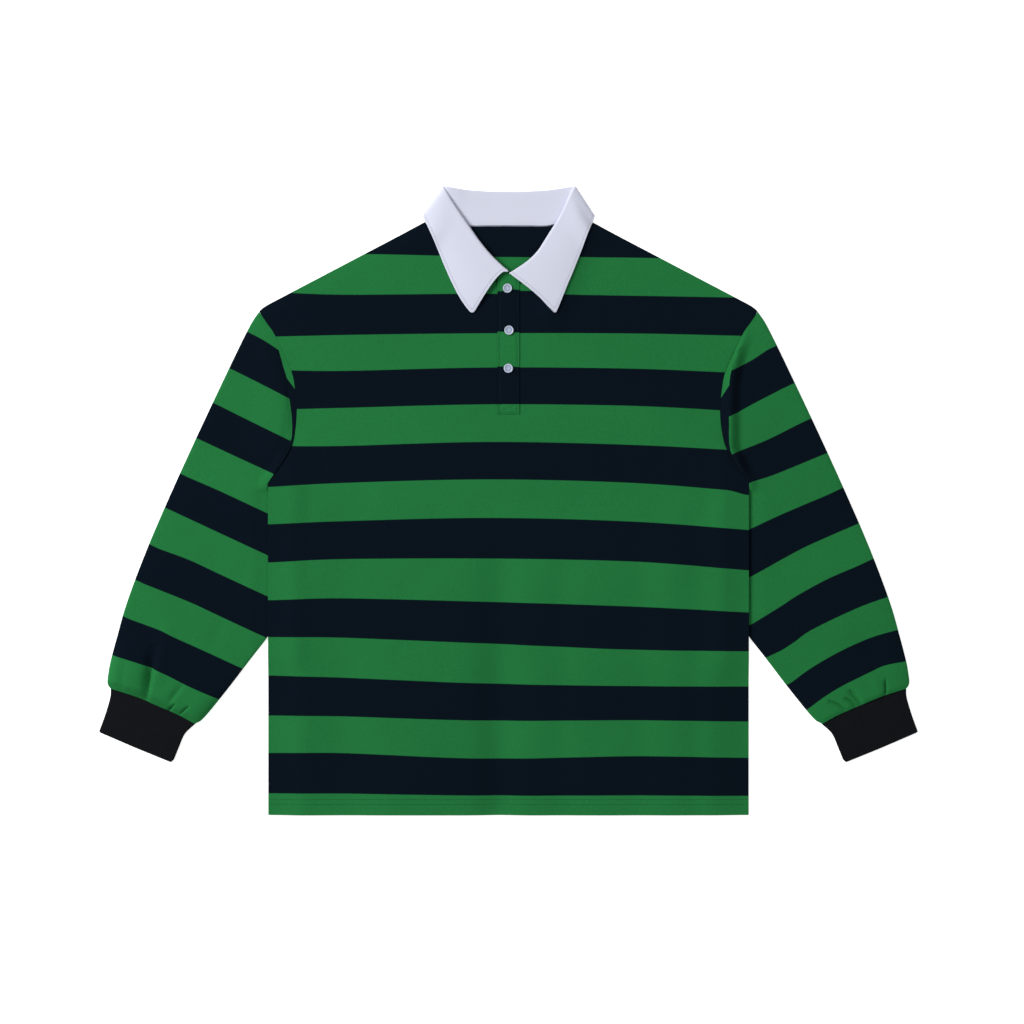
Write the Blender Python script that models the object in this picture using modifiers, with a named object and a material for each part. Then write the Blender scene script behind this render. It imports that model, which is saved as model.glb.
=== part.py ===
"""A long-sleeved polo shirt with a turned-down collar, laid out flat and face up, its sleeves angled down.

Metres. The shirt lies on the plane z = 0. +Y runs to the collar and +X to the wearer's left, and left and
right are the wearer's. Each cut piece is a wall of cloth, a small gap away from those it is sewn to.
"""

import math

import bmesh
import bpy
import numpy as np
from mathutils.geometry import delaunay_2d_cdt

# Cloth
CLOTH = 0.0012
COLLAR_CLOTH = 0.0016
CUFF_CLOTH = 0.0015
GAP = 0.0003
LAYER = CLOTH + GAP
SEAM_GAP = 0.0004
NECK_GAP = 0.0012

# Body: half of the chest, hem and underarm
SIDE = 0.300
HEM_Y = -0.3925
UNDERARM_Y = 0.0222
SHOULDER_SLOPE = 0.527
NECK_POINT_X = 0.0858
NECK_POINT_Y = 0.3577
SHOULDER_START = (0.0866, 0.3571)
BODY_LOFT = 0.0010
# How far in from the side edges, below the chest, and from the shoulder the loft reaches its height
SIDE_SLOPE = 0.022
SIDE_SLOPE_TOP_Y = 0.100
SHOULDER_FALL = 0.016

# The armhole seam from the shoulder to the underarm, on the wearer's left
ARMHOLE = (
    # x, y
    (0.3112, 0.2362),
    (0.3020, 0.2220),
    (0.2913, 0.2060),
    (0.2715, 0.1630),
    (0.2664, 0.1382),
    (0.2644, 0.1152),
    (0.2658, 0.0922),
    (0.2710, 0.0684),
    (0.2820, 0.0480),
    (0.2926, 0.0329),
    (0.3000, 0.0222),
)

# The rounded end of the shoulder, from its straight part to the armhole
SHOULDER_END = (
    # x, y
    (0.2890, 0.2508),
    (0.3010, 0.2444),
    (0.3080, 0.2397),
    (0.3112, 0.2362),
)

# The sleeve's long edges. The inner one runs under the body between its second and eighth points.
SLEEVE_OUTER = (
    # x, y
    (0.3116, 0.2361),
    (0.3256, 0.2134),
    (0.3619, 0.1384),
    (0.4056, 0.0447),
    (0.4469, -0.0490),
    (0.4756, -0.1240),
    (0.4931, -0.1803),
    (0.4995, -0.2050),
    (0.5006, -0.2200),
    (0.4969, -0.2344),
)
SLEEVE_INNER = (
    # x, y
    (0.3006, 0.0218),
    (0.3004, 0.0050),
    (0.2965, -0.0080),
    (0.2850, -0.0350),
    (0.2775, -0.0740),
    (0.2794, -0.1240),
    (0.2890, -0.1500),
    (0.3010, -0.1703),
    (0.3231, -0.1990),
    (0.3519, -0.2366),
    (0.3800, -0.2708),
    (0.3914, -0.2786),
)
CUFF_SEAM = (
    # x, y
    (0.4969, -0.2344),
    (0.4651, -0.2445),
    (0.4380, -0.2560),
    (0.4115, -0.2675),
    (0.3914, -0.2786),
)
CUFF_OUTER = (
    # x, y
    (0.4969, -0.2347),
    (0.4974, -0.2450),
    (0.5031, -0.2652),
    (0.5113, -0.2880),
)
CUFF_OPENING = (
    # x, y
    (0.5113, -0.2890),
    (0.4629, -0.3098),
    (0.4215, -0.3262),
)
CUFF_INNER = (
    # x, y
    (0.4176, -0.3230),
    (0.4115, -0.3076),
    (0.4040, -0.2910),
    (0.3914, -0.2789),
)

# What lies under the body: the sleeve's tuck below the underarm, and the collar's back fall
TUCK_LIFT = 0.0034
TUCK_INNER_X = 0.272
TUCK_START_X = 0.246
TUCK_TOP_Y = 0.080
TUCK_LOW_Y = -0.190
TUCK_END_Y = -0.228
FALL_LIFT = COLLAR_CLOTH + 2 * GAP
FALL_LOW_Y = 0.308
FALL_Y = 0.330
FALL_SIDE_X = 0.108
FALL_END_X = 0.140

# Soft folds of the front, which rise from nothing over the taper at both ends. A negative height is a trough.
FOLD_TAPER = 0.05
BODY_FOLDS = (
    # x, low y, high y, half width, height
    (-0.048, -0.420, -0.060, 0.022, -0.0009),
    (0.002, -0.420, -0.080, 0.016, 0.0006),
    (0.071, -0.420, -0.250, 0.024, -0.0007),
    (0.146, -0.420, -0.050, 0.026, -0.0005),
    (0.239, -0.420, -0.030, 0.024, -0.0004),
    (-0.217, -0.062, 0.013, 0.028, -0.0006),
)

# The strip of sleeve between the armhole seam and the crease beside it: its width down the seam
SEAM_STRIP = {
    "right": (
        # share of the seam, width
        (0.00, 0.0000),
        (0.20, 0.0040),
        (0.38, 0.0070),
        (0.50, 0.0080),
        (0.65, 0.0060),
        (0.80, 0.0040),
        (1.00, 0.0030),
    ),
    "left": (
        # share of the seam, width
        (0.00, 0.0000),
        (0.15, 0.0040),
        (0.35, 0.0085),
        (0.55, 0.0100),
        (0.80, 0.0080),
        (1.00, 0.0060),
    ),
}
STRIP_RISE = 0.0010
STRIP_DROP_WIDTH = 0.0035
STRIP_LEAST = 0.0005
# Shares of the seam from the shoulder over which the sleeve's loft and its strip rise
SEAM_LOFT_SHARE = 0.06
SEAM_STRIP_SHARE = 0.10
SEAM_FALL_WIDTH = 0.014
SLEEVE_LOFT = 0.0006
# The blouse above the cuff: its height, and where it rises, starts to fall and ends, from the cuff's seam
CUFF_BLOUSE = 0.0016
BLOUSE_RISE = 0.012
BLOUSE_FALL = (0.020, 0.055)
# Where the sleeve's loft starts and ends beyond the body's side, and the height under which it lies below it
TUCK_LOFT = (SIDE + 0.004, SIDE + 0.022)
TUCK_UNDER_Y = 0.004
TUCK_STEEPNESS = 10
CUFF_LOFT = 0.0006
CUFF_LOFT_WIDTH = 0.020
CUFF_OFFSET = (-0.00015, -0.00045)

# Creases of the sleeves, each a line from its start through its middle to its end
SLEEVE_CREASES = {
    "right": (
        # start, middle, end, half width, height
        ((0.314, -0.052), (0.328, -0.080), (0.340, -0.112), 0.010, -0.0005),
        ((0.412, -0.115), (0.436, -0.180), (0.459, -0.246), 0.010, -0.0012),
        ((0.404, -0.150), (0.426, -0.200), (0.444, -0.250), 0.010, 0.0010),
        ((0.420, -0.222), (0.417, -0.242), (0.411, -0.262), 0.005, -0.0006),
        ((0.478, -0.190), (0.479, -0.215), (0.483, -0.238), 0.006, -0.0006),
    ),
    "left": (
        # start, middle, end, half width, height
        ((0.398, -0.262), (0.412, -0.240), (0.436, -0.222), 0.007, -0.0008),
        ((0.420, -0.262), (0.432, -0.246), (0.452, -0.235), 0.006, -0.0006),
        ((0.438, -0.252), (0.452, -0.232), (0.470, -0.224), 0.007, 0.0008),
        ((0.472, -0.205), (0.474, -0.222), (0.472, -0.240), 0.006, -0.0008),
        ((0.428, -0.130), (0.450, -0.180), (0.462, -0.220), 0.012, -0.0006),
    ),
}

# Placket, at the middle of the front
PLACKET_X = 0.0005
PLACKET_HALF = 0.0142
PLACKET_TOP_Y = 0.2855
PLACKET_LOW_Y = 0.1084
PLACKET_CORNER = 0.012
PLACKET_RIGHT_DROP = 0.010
SLIT_HALF = 0.0110
SLIT_TOP_Y = 0.2710
SLIT_LOW_Y = 0.1210
UNDER_TOP_Y = 0.2740
BUTTON_X = -0.0003
BUTTON_YS = (0.2662, 0.2134, 0.1662)
BUTTON_RADIUS = 0.00575
BUTTON_HEIGHT = 0.0024
BUTTON_RIM = 0.0014
BUTTON_RECESS = 0.0006
BUTTON_STEPS = 20

# The collar from a front end to the middle of the back, one row for each section. A section runs from the
# neck seam up the stand, round the roll and down the fall to the outer edge. The turn is 0 where the fall
# lies over the stand, in front, and 180 where it lies under the stand, at the back.
COLLAR_RIGHT = (
    # seam x, seam y, roll x, roll y, roll z, roll radius, turn, edge x, edge y, bow
    (-0.0180, 0.2750, -0.0001, 0.2859, 0.0088, 0.0013, 0, -0.0420, 0.2368, 0.0055),
    (-0.0205, 0.2765, -0.0030, 0.2890, 0.0086, 0.0014, 0, -0.0455, 0.2349, 0.0040),
    (-0.0250, 0.2795, -0.0080, 0.2938, 0.0083, 0.0016, 0, -0.0504, 0.2374, 0.0025),
    (-0.0380, 0.2870, -0.0191, 0.3061, 0.0080, 0.0020, 0, -0.0618, 0.2532, 0.0005),
    (-0.0540, 0.3000, -0.0325, 0.3228, 0.0078, 0.0022, 0, -0.0724, 0.2733, 0.0),
    (-0.0670, 0.3180, -0.0436, 0.3384, 0.0076, 0.0022, 0, -0.0808, 0.2917, 0.0),
    (-0.0780, 0.3380, -0.0604, 0.3618, 0.0074, 0.0021, 0, -0.0919, 0.3195, 0.0),
    (-0.0830, 0.3520, -0.0715, 0.3797, 0.0070, 0.0020, 10, -0.1002, 0.3402, 0.0),
    (-0.0843, 0.3565, -0.0765, 0.3880, 0.0062, 0.0020, 40, -0.1036, 0.3490, 0.0),
    (-0.0848, 0.3589, -0.0792, 0.3917, 0.0045, 0.0019, 90, -0.1045, 0.3541, 0.0),
    (-0.0838, 0.3592, -0.0775, 0.3915, 0.0030, 0.0016, 140, -0.1025, 0.3520, 0.0),
    (-0.0790, 0.3565, -0.0720, 0.3909, 0.0023, 0.0013, 172, -0.0960, 0.3475, 0.0),
    (-0.0670, 0.3495, -0.0620, 0.3891, 0.0021, 0.0012, 180, -0.0800, 0.3420, 0.0),
    (-0.0490, 0.3440, -0.0481, 0.3873, 0.0021, 0.0012, 180, -0.0550, 0.3385, 0.0),
    (-0.0240, 0.3438, -0.0240, 0.3858, 0.0021, 0.0012, 180, -0.0280, 0.3370, 0.0),
    (0.0005, 0.3439, 0.0005, 0.3854, 0.0021, 0.0012, 180, 0.0005, 0.3367, 0.0),
)
COLLAR_LEFT = (
    # seam x, seam y, roll x, roll y, roll z, roll radius, turn, edge x, edge y, bow
    (0.0190, 0.2720, 0.0011, 0.2835, 0.0086, 0.0013, 0, 0.0552, 0.2369, 0.0016),
    (0.0215, 0.2745, 0.0040, 0.2858, 0.0085, 0.0014, 0, 0.0580, 0.2345, 0.0012),
    (0.0260, 0.2790, 0.0088, 0.2888, 0.0083, 0.0016, 0, 0.0606, 0.2375, 0.0008),
    (0.0400, 0.2880, 0.0230, 0.2972, 0.0080, 0.0020, 0, 0.0667, 0.2520, 0.0),
    (0.0580, 0.3020, 0.0360, 0.3090, 0.0078, 0.0022, 0, 0.0735, 0.2690, 0.0),
    (0.0690, 0.3190, 0.0482, 0.3290, 0.0076, 0.0022, 0, 0.0815, 0.2880, 0.0),
    (0.0790, 0.3400, 0.0640, 0.3560, 0.0074, 0.0021, 0, 0.0925, 0.3160, 0.0),
    (0.0835, 0.3530, 0.0735, 0.3770, 0.0070, 0.0020, 10, 0.1005, 0.3375, 0.0),
    (0.0848, 0.3568, 0.0775, 0.3875, 0.0062, 0.0020, 40, 0.1045, 0.3480, 0.0),
    (0.0853, 0.3589, 0.0805, 0.3919, 0.0045, 0.0019, 90, 0.1058, 0.3550, 0.0),
    (0.0843, 0.3592, 0.0788, 0.3916, 0.0030, 0.0016, 140, 0.1035, 0.3525, 0.0),
    (0.0795, 0.3565, 0.0730, 0.3909, 0.0023, 0.0013, 172, 0.0965, 0.3475, 0.0),
    (0.0675, 0.3495, 0.0630, 0.3891, 0.0021, 0.0012, 180, 0.0805, 0.3420, 0.0),
    (0.0500, 0.3440, 0.0490, 0.3873, 0.0021, 0.0012, 180, 0.0560, 0.3385, 0.0),
    (0.0250, 0.3438, 0.0250, 0.3858, 0.0021, 0.0012, 180, 0.0290, 0.3370, 0.0),
)
COLLAR_FRONT_ROWS = 9
COLLAR_ARCH = 0.0010
COLLAR_REST_GAP = 0.0006
# The front ends lie over the placket, up to the first distance from its middle, and come down by the second
COLLAR_END_LIFT = 0.0033
COLLAR_END_REACH = (0.020, 0.045)
STAND_STEPS = 2
ROLL_STEPS = 4
FALL_STEPS = 4
SECTIONS_PER_ROW = 2

# Mesh spacing
BODY_SPACING = 0.032
SLEEVE_SPACING = 0.024
EDGE_SPACING = 0.018
CUFF_SPACING = 0.016
CREASE_SPACING = 0.014
BESIDE_STRIP = 0.020
STRIP_MESHED = 0.0035
SPECIAL_GAP = 0.006
TUCK_COLUMNS = (0.288, 0.274, 0.262, 0.248)
TUCK_COLUMN_YS = (-0.245, 0.100)
TUCK_STEP = 0.024
FALL_ROWS = (0.306, 0.319, 0.331, 0.343)
FALL_ROW_HALF = 0.150
FALL_STEP = 0.018
FOLD_ROUNDING = 0.0010
SHARP_ANGLE = 40

GREEN = (0.018, 0.184, 0.048)
NAVY = (0.003, 0.007, 0.013)
WHITE = (0.66, 0.68, 0.80)
CUFF_BLACK = (0.008, 0.009, 0.011)
BUTTON_BLUE = (0.42, 0.55, 0.72)


def smooth(low, high, value):
    """0 below low, 1 above high and an even S between them."""
    share = np.clip((np.asarray(value, float) - low) / (high - low), 0.0, 1.0)
    return share * share * (3.0 - 2.0 * share)


def curve_through(rows, steps):
    """A Catmull-Rom curve through the rows, with that many steps between two rows."""
    rows = np.array(rows, float)
    before = 2 * rows[0] - rows[1]
    after = 2 * rows[-1] - rows[-2]
    ends = np.vstack([before, rows, after])
    made = []
    for i in range(len(rows) - 1):
        a, b, c, d = ends[i : i + 4]
        for step in range(steps):
            t = step / steps
            made.append(
                b + 0.5 * t * (c - a + t * (2 * a - 5 * b + 4 * c - d + t * (3 * (b - c) + d - a)))
            )
    made.append(rows[-1])
    return np.array(made)


def evenly(line, spacing):
    """The line with its points about that far apart, both ends kept."""
    line = np.array(line, float)
    lengths = np.linalg.norm(np.diff(line, axis=0), axis=1)
    along = np.concatenate([[0.0], np.cumsum(lengths)])
    count = max(1, round(along[-1] / spacing))
    places = np.linspace(0.0, along[-1], count + 1)
    return np.stack([np.interp(places, along, line[:, k]) for k in range(2)], axis=1)


def drawn(points, spacing):
    """An even line along a smooth curve through the points."""
    return evenly(curve_through(points, 12), spacing)


def mirrored(points, side):
    """The points with x turned to the side, 1 for the wearer's left and -1 for the right."""
    return np.array(points, float) * (side, 1.0)


def nearest(points, line):
    """For each point its distance to the line and the share of the line's length at the nearest place."""
    starts = line[:-1]
    spans = np.diff(line, axis=0)
    lengths = np.linalg.norm(spans, axis=1)
    along = np.concatenate([[0.0], np.cumsum(lengths)])
    offsets = points[:, None, :] - starts[None, :, :]
    shares = np.clip((offsets * spans).sum(axis=2) / (lengths**2), 0.0, 1.0)
    away = np.linalg.norm(offsets - shares[:, :, None] * spans, axis=2)
    best = away.argmin(axis=1)
    rows = np.arange(len(points))
    share = (along[best] + shares[rows, best] * lengths[best]) / along[-1]
    return away[rows, best], share


def inside(points, outline):
    """True for each point within the closed outline."""
    x, y = points[:, 0], points[:, 1]
    found = np.zeros(len(points), bool)
    ends = np.roll(outline, -1, axis=0)
    for (ax, ay), (bx, by) in zip(outline, ends):
        if ay == by:
            continue
        crosses = (ay > y) != (by > y)
        found ^= crosses & (x < ax + (y - ay) * (bx - ax) / (by - ay))
    return found


def staggered(outline, spacing):
    """Points in rows within the outline's box, every other row moved by half a step."""
    low, high = outline.min(axis=0), outline.max(axis=0)
    rise = spacing * math.sqrt(3) / 2
    made = []
    for row in range(int((high[1] - low[1]) / rise) + 2):
        start = low[0] + (spacing / 2 if row % 2 else 0.0)
        for column in range(int((high[0] - low[0]) / spacing) + 2):
            made.append((start + column * spacing, low[1] + row * rise))
    return np.array(made)


def kept_apart(points, fixed, distance):
    """The points in order, without those nearer than the distance to a fixed or an earlier one."""
    kept = [tuple(p) for p in fixed]
    made = []
    for point in points:
        away = np.linalg.norm(np.array(kept) - point, axis=1)
        if away.min() >= distance:
            kept.append(tuple(point))
            made.append(tuple(point))
    return np.array(made).reshape(-1, 2)


def inner_points(outline, spacing, special=(), special_gap=0.003):
    """Mesh points within the outline: the special ones first, then evenly staggered ones."""
    special = np.array(special, float).reshape(-1, 2)
    if len(special):
        special = special[inside(special, outline)]
        special = kept_apart(special, outline, special_gap)
    even = staggered(outline, spacing)
    even = even[inside(even, outline)]
    even = kept_apart(even, np.vstack([outline, special]), 0.62 * spacing)
    return np.vstack([special, even])


def triangulated(outline, inner):
    """Points, triangles and the place of each outline point, for the flat shape within the outline."""
    points = [tuple(p) for p in np.vstack([outline, inner])]
    loop = list(range(len(outline)))
    flat, _, faces, sources, _, _ = delaunay_2d_cdt(points, [], [loop], 1, 1e-7)
    place = {}
    for index, ids in enumerate(sources):
        for source in ids:
            place[source] = index
    return np.array([tuple(p) for p in flat]), [tuple(f) for f in faces], [place[i] for i in loop]


def body_lift(points):
    """How far the back panel lies above the surface, over the sleeves' tucks and the collar's fall."""
    x, y = np.abs(points[:, 0]), points[:, 1]
    tuck = smooth(TUCK_START_X, TUCK_INNER_X, x)
    tuck = tuck * (1 - smooth(UNDERARM_Y + 0.002, TUCK_TOP_Y, y)) * smooth(TUCK_END_Y, TUCK_LOW_Y, y)
    fall = smooth(FALL_LOW_Y, FALL_Y, y) * (1 - smooth(FALL_SIDE_X, FALL_END_X, x))
    return TUCK_LIFT * tuck + FALL_LIFT * fall


def body_loft(points):
    """The air between back and front panel beyond the seam gap, with the front's soft folds."""
    x, y = points[:, 0], points[:, 1]
    beside = np.where(y < SIDE_SLOPE_TOP_Y, smooth(0.0, SIDE_SLOPE, SIDE - np.abs(x)), 1.0)
    shoulder_y = NECK_POINT_Y - SHOULDER_SLOPE * (np.abs(x) - NECK_POINT_X)
    below = smooth(0.0, SHOULDER_FALL, shoulder_y - y)
    folds = np.zeros(len(points))
    for fold_x, low, high, half, height in BODY_FOLDS:
        taper = smooth(low, low + FOLD_TAPER, y) * (1 - smooth(high - FOLD_TAPER, high, y))
        folds += height * taper * np.exp(-(((x - fold_x) / half) ** 2))
    return beside * below * (BODY_LOFT + folds)


def back_base(points):
    """The underside of the back panel."""
    return body_lift(points)


def front_base(points):
    """The underside of the front panel."""
    return body_lift(points) + LAYER + body_loft(points)


def curved_ridge(points, start, middle, end, half, height):
    """The height that a crease along a bent line adds, dying away at its ends."""
    line = curve_through((start, middle, end), 6)
    away, share = nearest(points, line)
    return height * np.exp(-((away / half) ** 2)) * np.sin(math.pi * np.clip(share, 0.0, 1.0)) ** 0.6


class Sleeve:
    """One sleeve's lines and heights, in plan."""

    def __init__(self, name):
        self.creases = SLEEVE_CREASES[name]
        self.strip = np.array(SEAM_STRIP[name])
        self.armhole = curve_through(ARMHOLE, 6)
        self.seam = curve_through(CUFF_SEAM, 6)

    def strip_width(self, share):
        return np.interp(share, self.strip[:, 0], self.strip[:, 1])

    def back_base(self, points):
        """The underside of the sleeve's back layer: at the armhole it meets the back panel."""
        plan = np.abs(points * (1.0, 0.0)) + points * (0.0, 1.0)
        away, share = nearest(plan, self.armhole)
        x = np.interp(share, np.linspace(0, 1, len(self.armhole)), self.armhole[:, 0])
        y = np.interp(share, np.linspace(0, 1, len(self.armhole)), self.armhole[:, 1])
        return body_lift(np.stack([x, y], axis=1)) * (1 - smooth(0.0, SEAM_FALL_WIDTH, away))

    def front_base(self, points):
        """The underside of the sleeve's front layer."""
        plan = np.abs(points * (1.0, 0.0)) + points * (0.0, 1.0)
        away, share = nearest(plan, self.armhole)
        width = np.maximum(self.strip_width(share), STRIP_LEAST)
        strip = BODY_LOFT * smooth(0.0, SEAM_LOFT_SHARE, share) + STRIP_RISE * np.clip(away / width, 0.0, 1.0)
        strip = strip * smooth(0.0, SEAM_STRIP_SHARE, share)
        on_strip = 1 - smooth(width, width + STRIP_DROP_WIDTH, away)
        near_cuff, _ = nearest(plan, self.seam)
        blouse = CUFF_BLOUSE * smooth(0.0, BLOUSE_RISE, near_cuff) * (1 - smooth(*BLOUSE_FALL, near_cuff))
        loft = np.full(len(points), SLEEVE_LOFT)
        for crease in self.creases:
            loft += curved_ridge(plan, *crease)
        loft = np.maximum(loft, 0.0)
        over = TUCK_STEEPNESS * np.maximum(plan[:, 1] - TUCK_UNDER_Y, 0)
        tucked = smooth(*TUCK_LOFT, plan[:, 0] + over)
        loft = (loft + blouse) * tucked
        loft = strip * on_strip + loft * (1 - on_strip)
        return self.back_base(points) + LAYER + loft


def collection_named(name):
    made = bpy.data.collections.new(name)
    bpy.context.scene.collection.children.link(made)
    return made


def material(name, colour, roughness, metallic=0.0):
    made = bpy.data.materials.new(name)
    made.use_nodes = True
    shader = made.node_tree.nodes["Principled BSDF"]
    shader.inputs["Base Color"].default_value = (*colour, 1.0)
    shader.inputs["Roughness"].default_value = roughness
    shader.inputs["Metallic"].default_value = metallic
    return made


def add_object(name, points, faces, look, home, closed=True):
    """A mesh object from points and faces, shaded smooth away from its sharp edges."""
    mesh = bpy.data.meshes.new(name)
    mesh.from_pydata([tuple(p) for p in points], [], faces)
    if closed:
        grown = bmesh.new()
        grown.from_mesh(mesh)
        bmesh.ops.recalc_face_normals(grown, faces=grown.faces)
        grown.to_mesh(mesh)
        grown.free()
    mesh.shade_smooth()
    mesh.set_sharp_from_angle(angle=math.radians(SHARP_ANGLE))
    mesh.materials.append(look)
    made = bpy.data.objects.new(name, mesh)
    home.objects.link(made)
    return made


def with_height(plan, heights):
    return np.column_stack([plan, heights])


def sheet(name, outline, inner, base, thickness, look, home):
    """A wall of cloth within the outline, its underside at the base heights."""
    plan, faces, loop = triangulated(outline, inner)
    low = base(plan)
    count = len(plan)
    points = np.vstack([with_height(plan, low), with_height(plan, low + thickness)])
    solid = [tuple(reversed(f)) for f in faces]
    solid += [tuple(i + count for i in f) for f in faces]
    for a, b in zip(loop, loop[1:] + loop[:1]):
        solid.append((a, b, b + count, a + count))
    return add_object(name, points, solid, look, home)


def flat_tube(name, sides, spacing, special, back, front, thickness, look, home):
    """A flattened tube of cloth. Its sides are an open end, a fold, an open end and a fold, in turn."""
    outline = np.vstack([line[:-1] for line in sides])
    counts = [len(line) - 1 for line in sides]
    starts = np.concatenate([[0], np.cumsum(counts)])
    total = len(outline)
    folded = np.zeros(total, bool)
    folded[starts[1] : starts[2] + 1] = True
    folded[starts[3] :] = True
    folded[0] = True
    before, after = np.roll(outline, 1, axis=0), np.roll(outline, -1, axis=0)
    direction = after - before
    direction /= np.linalg.norm(direction, axis=1)[:, None]
    turning = np.sign((outline[:, 0] * after[:, 1] - after[:, 0] * outline[:, 1]).sum())
    inward = np.stack([-direction[:, 1], direction[:, 0]], axis=1) * turning
    for corner, other in ((0, 1), (starts[1], -1), (starts[2], 1), (starts[3], -1)):
        along = outline[(corner + other) % total] - outline[corner]
        fold = outline[(corner - other) % total] - outline[corner]
        convex = other * turning * (along[0] * fold[1] - along[1] * fold[0]) > 0
        moved = along if convex else np.array((fold[1], -fold[0])) * other * turning
        inward[corner] = moved / np.linalg.norm(moved)

    def inset(amount):
        return outline + inward * np.where(folded, amount, 0.0)[:, None]

    skin, hollow = inset(FOLD_ROUNDING), inset(thickness + FOLD_ROUNDING)
    skin_plan, skin_faces, skin_loop = triangulated(skin, inner_points(skin, spacing, special))
    hollow_plan, hollow_faces, hollow_loop = triangulated(hollow, inner_points(hollow, spacing, special))
    bottom, top = back(skin_plan), front(skin_plan) + thickness
    floor, ceiling = back(hollow_plan) + thickness, front(hollow_plan)
    fold_out, fold_in = inset(0.0), inset(thickness)
    out_middle = (back(fold_out) + front(fold_out) + thickness) / 2
    in_middle = (back(fold_in) + front(fold_in) + thickness) / 2
    points = np.vstack(
        [
            with_height(skin_plan, top),
            with_height(skin_plan, bottom),
            with_height(hollow_plan, ceiling),
            with_height(hollow_plan, floor),
            with_height(fold_out, out_middle),
            with_height(fold_in, in_middle),
        ]
    )
    base = np.cumsum([0, len(skin_plan), len(skin_plan), len(hollow_plan), len(hollow_plan), total])
    faces = [tuple(int(i + base[0]) for i in f) for f in skin_faces]
    faces += [tuple(int(i + base[1]) for i in reversed(f)) for f in skin_faces]
    faces += [tuple(int(i + base[2]) for i in reversed(f)) for f in hollow_faces]
    faces += [tuple(int(i + base[3]) for i in f) for f in hollow_faces]

    def level(which, i):
        i %= total
        if which < 2:
            return int(base[which] + skin_loop[i])
        if which < 4:
            return int(base[which] + hollow_loop[i])
        return int(base[which] + i)

    def strip(i, upper, lower):
        faces.append((level(upper, i), level(upper, i + 1), level(lower, i + 1), level(lower, i)))

    for i in range(total):
        if folded[i] and folded[(i + 1) % total] and (starts[1] <= i < starts[2] or i >= starts[3]):
            strip(i, 0, 4)
            strip(i, 4, 1)
            strip(i, 2, 5)
            strip(i, 5, 3)
        else:
            strip(i, 0, 2)
            strip(i, 1, 3)
    for corner in (0, starts[1], starts[2], starts[3]):
        for skin_levels, hollow_levels in (((0, 4), (2, 5)), ((4, 1), (5, 3))):
            ring = [level(w, corner) for w in skin_levels] + [level(w, corner) for w in hollow_levels[::-1]]
            faces.append(tuple(ring))
    return add_object(name, points, faces, look, home)


def collar_rows():
    """The collar's rows from the wearer's right front end, round the back, to the left one."""
    return np.vstack([np.array(COLLAR_RIGHT), np.array(COLLAR_LEFT)[::-1]])


def neck_line(rows, away):
    """The panels' neck edge: the collar's seam moved off the collar by the distance."""
    seam, roll = rows[:, 0:2], rows[:, 2:4]
    outward = seam - roll
    outward /= np.linalg.norm(outward, axis=1)[:, None]
    return seam + outward * away


def shoulder(side, spacing):
    """The shoulder's edge from the neck to the armhole."""
    end = curve_through(SHOULDER_END, 4)
    straight = evenly(np.vstack([SHOULDER_START, end[0]]), spacing)
    return mirrored(np.vstack([straight[:-1], end]), side)


def body_outline(neck):
    """The outline of a panel, counter-clockwise from the wearer's right end of the hem."""
    armhole = drawn(ARMHOLE, EDGE_SPACING)
    hem = evenly(((-SIDE, HEM_Y), (SIDE, HEM_Y)), EDGE_SPACING * 1.4)
    side = evenly(((SIDE, HEM_Y), (SIDE, UNDERARM_Y)), EDGE_SPACING * 1.4)
    left = np.vstack([side[:-1], armhole[::-1][:-1], shoulder(1, EDGE_SPACING)[::-1]])
    right = mirrored(left[::-1], -1)
    return np.vstack([hem[:-1], left, neck, right[:-1]])


def body_specials():
    """Mesh points where the panels bend: beside the tucks and round the collar's fall."""
    made = []
    for side in (-1, 1):
        for column, x in enumerate(TUCK_COLUMNS):
            start = TUCK_COLUMN_YS[0] + TUCK_STEP / 2 * (column % 2)
            for y in np.arange(start, TUCK_COLUMN_YS[1], TUCK_STEP):
                made.append((side * x, y))
    for row, y in enumerate(FALL_ROWS):
        start = FALL_STEP / 2 * (row % 2) - FALL_ROW_HALF
        for x in np.arange(start, FALL_ROW_HALF + FALL_STEP / 4, FALL_STEP):
            made.append((x, y))
    return np.array(made)


def front_panel(look, home):
    rows = collar_rows()
    right = evenly(neck_line(rows[: COLLAR_FRONT_ROWS - 1], NECK_GAP), EDGE_SPACING * 0.7)
    left = evenly(neck_line(rows[-COLLAR_FRONT_ROWS + 1 :], NECK_GAP), EDGE_SPACING * 0.7)
    slit_sides = (PLACKET_X - SLIT_HALF, PLACKET_X + SLIT_HALF)
    down = evenly(((slit_sides[1], SLIT_TOP_Y), (slit_sides[1], SLIT_LOW_Y)), EDGE_SPACING)
    up = evenly(((slit_sides[0], SLIT_LOW_Y), (slit_sides[0], SLIT_TOP_Y)), EDGE_SPACING)
    outline = body_outline(np.vstack([left, down, up, right]))
    inner = inner_points(outline, BODY_SPACING, body_specials(), SPECIAL_GAP)
    return sheet("front_panel", outline, inner, front_base, CLOTH, look, home)


def back_panel(look, home):
    rows = collar_rows()
    neck = neck_line(rows[COLLAR_FRONT_ROWS + 2 : -COLLAR_FRONT_ROWS - 2], NECK_GAP)[::-1]
    outline = body_outline(evenly(neck, EDGE_SPACING * 0.7))
    inner = inner_points(outline, BODY_SPACING, body_specials(), SPECIAL_GAP)
    return sheet("back_panel", outline, inner, back_base, CLOTH, look, home)


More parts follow.
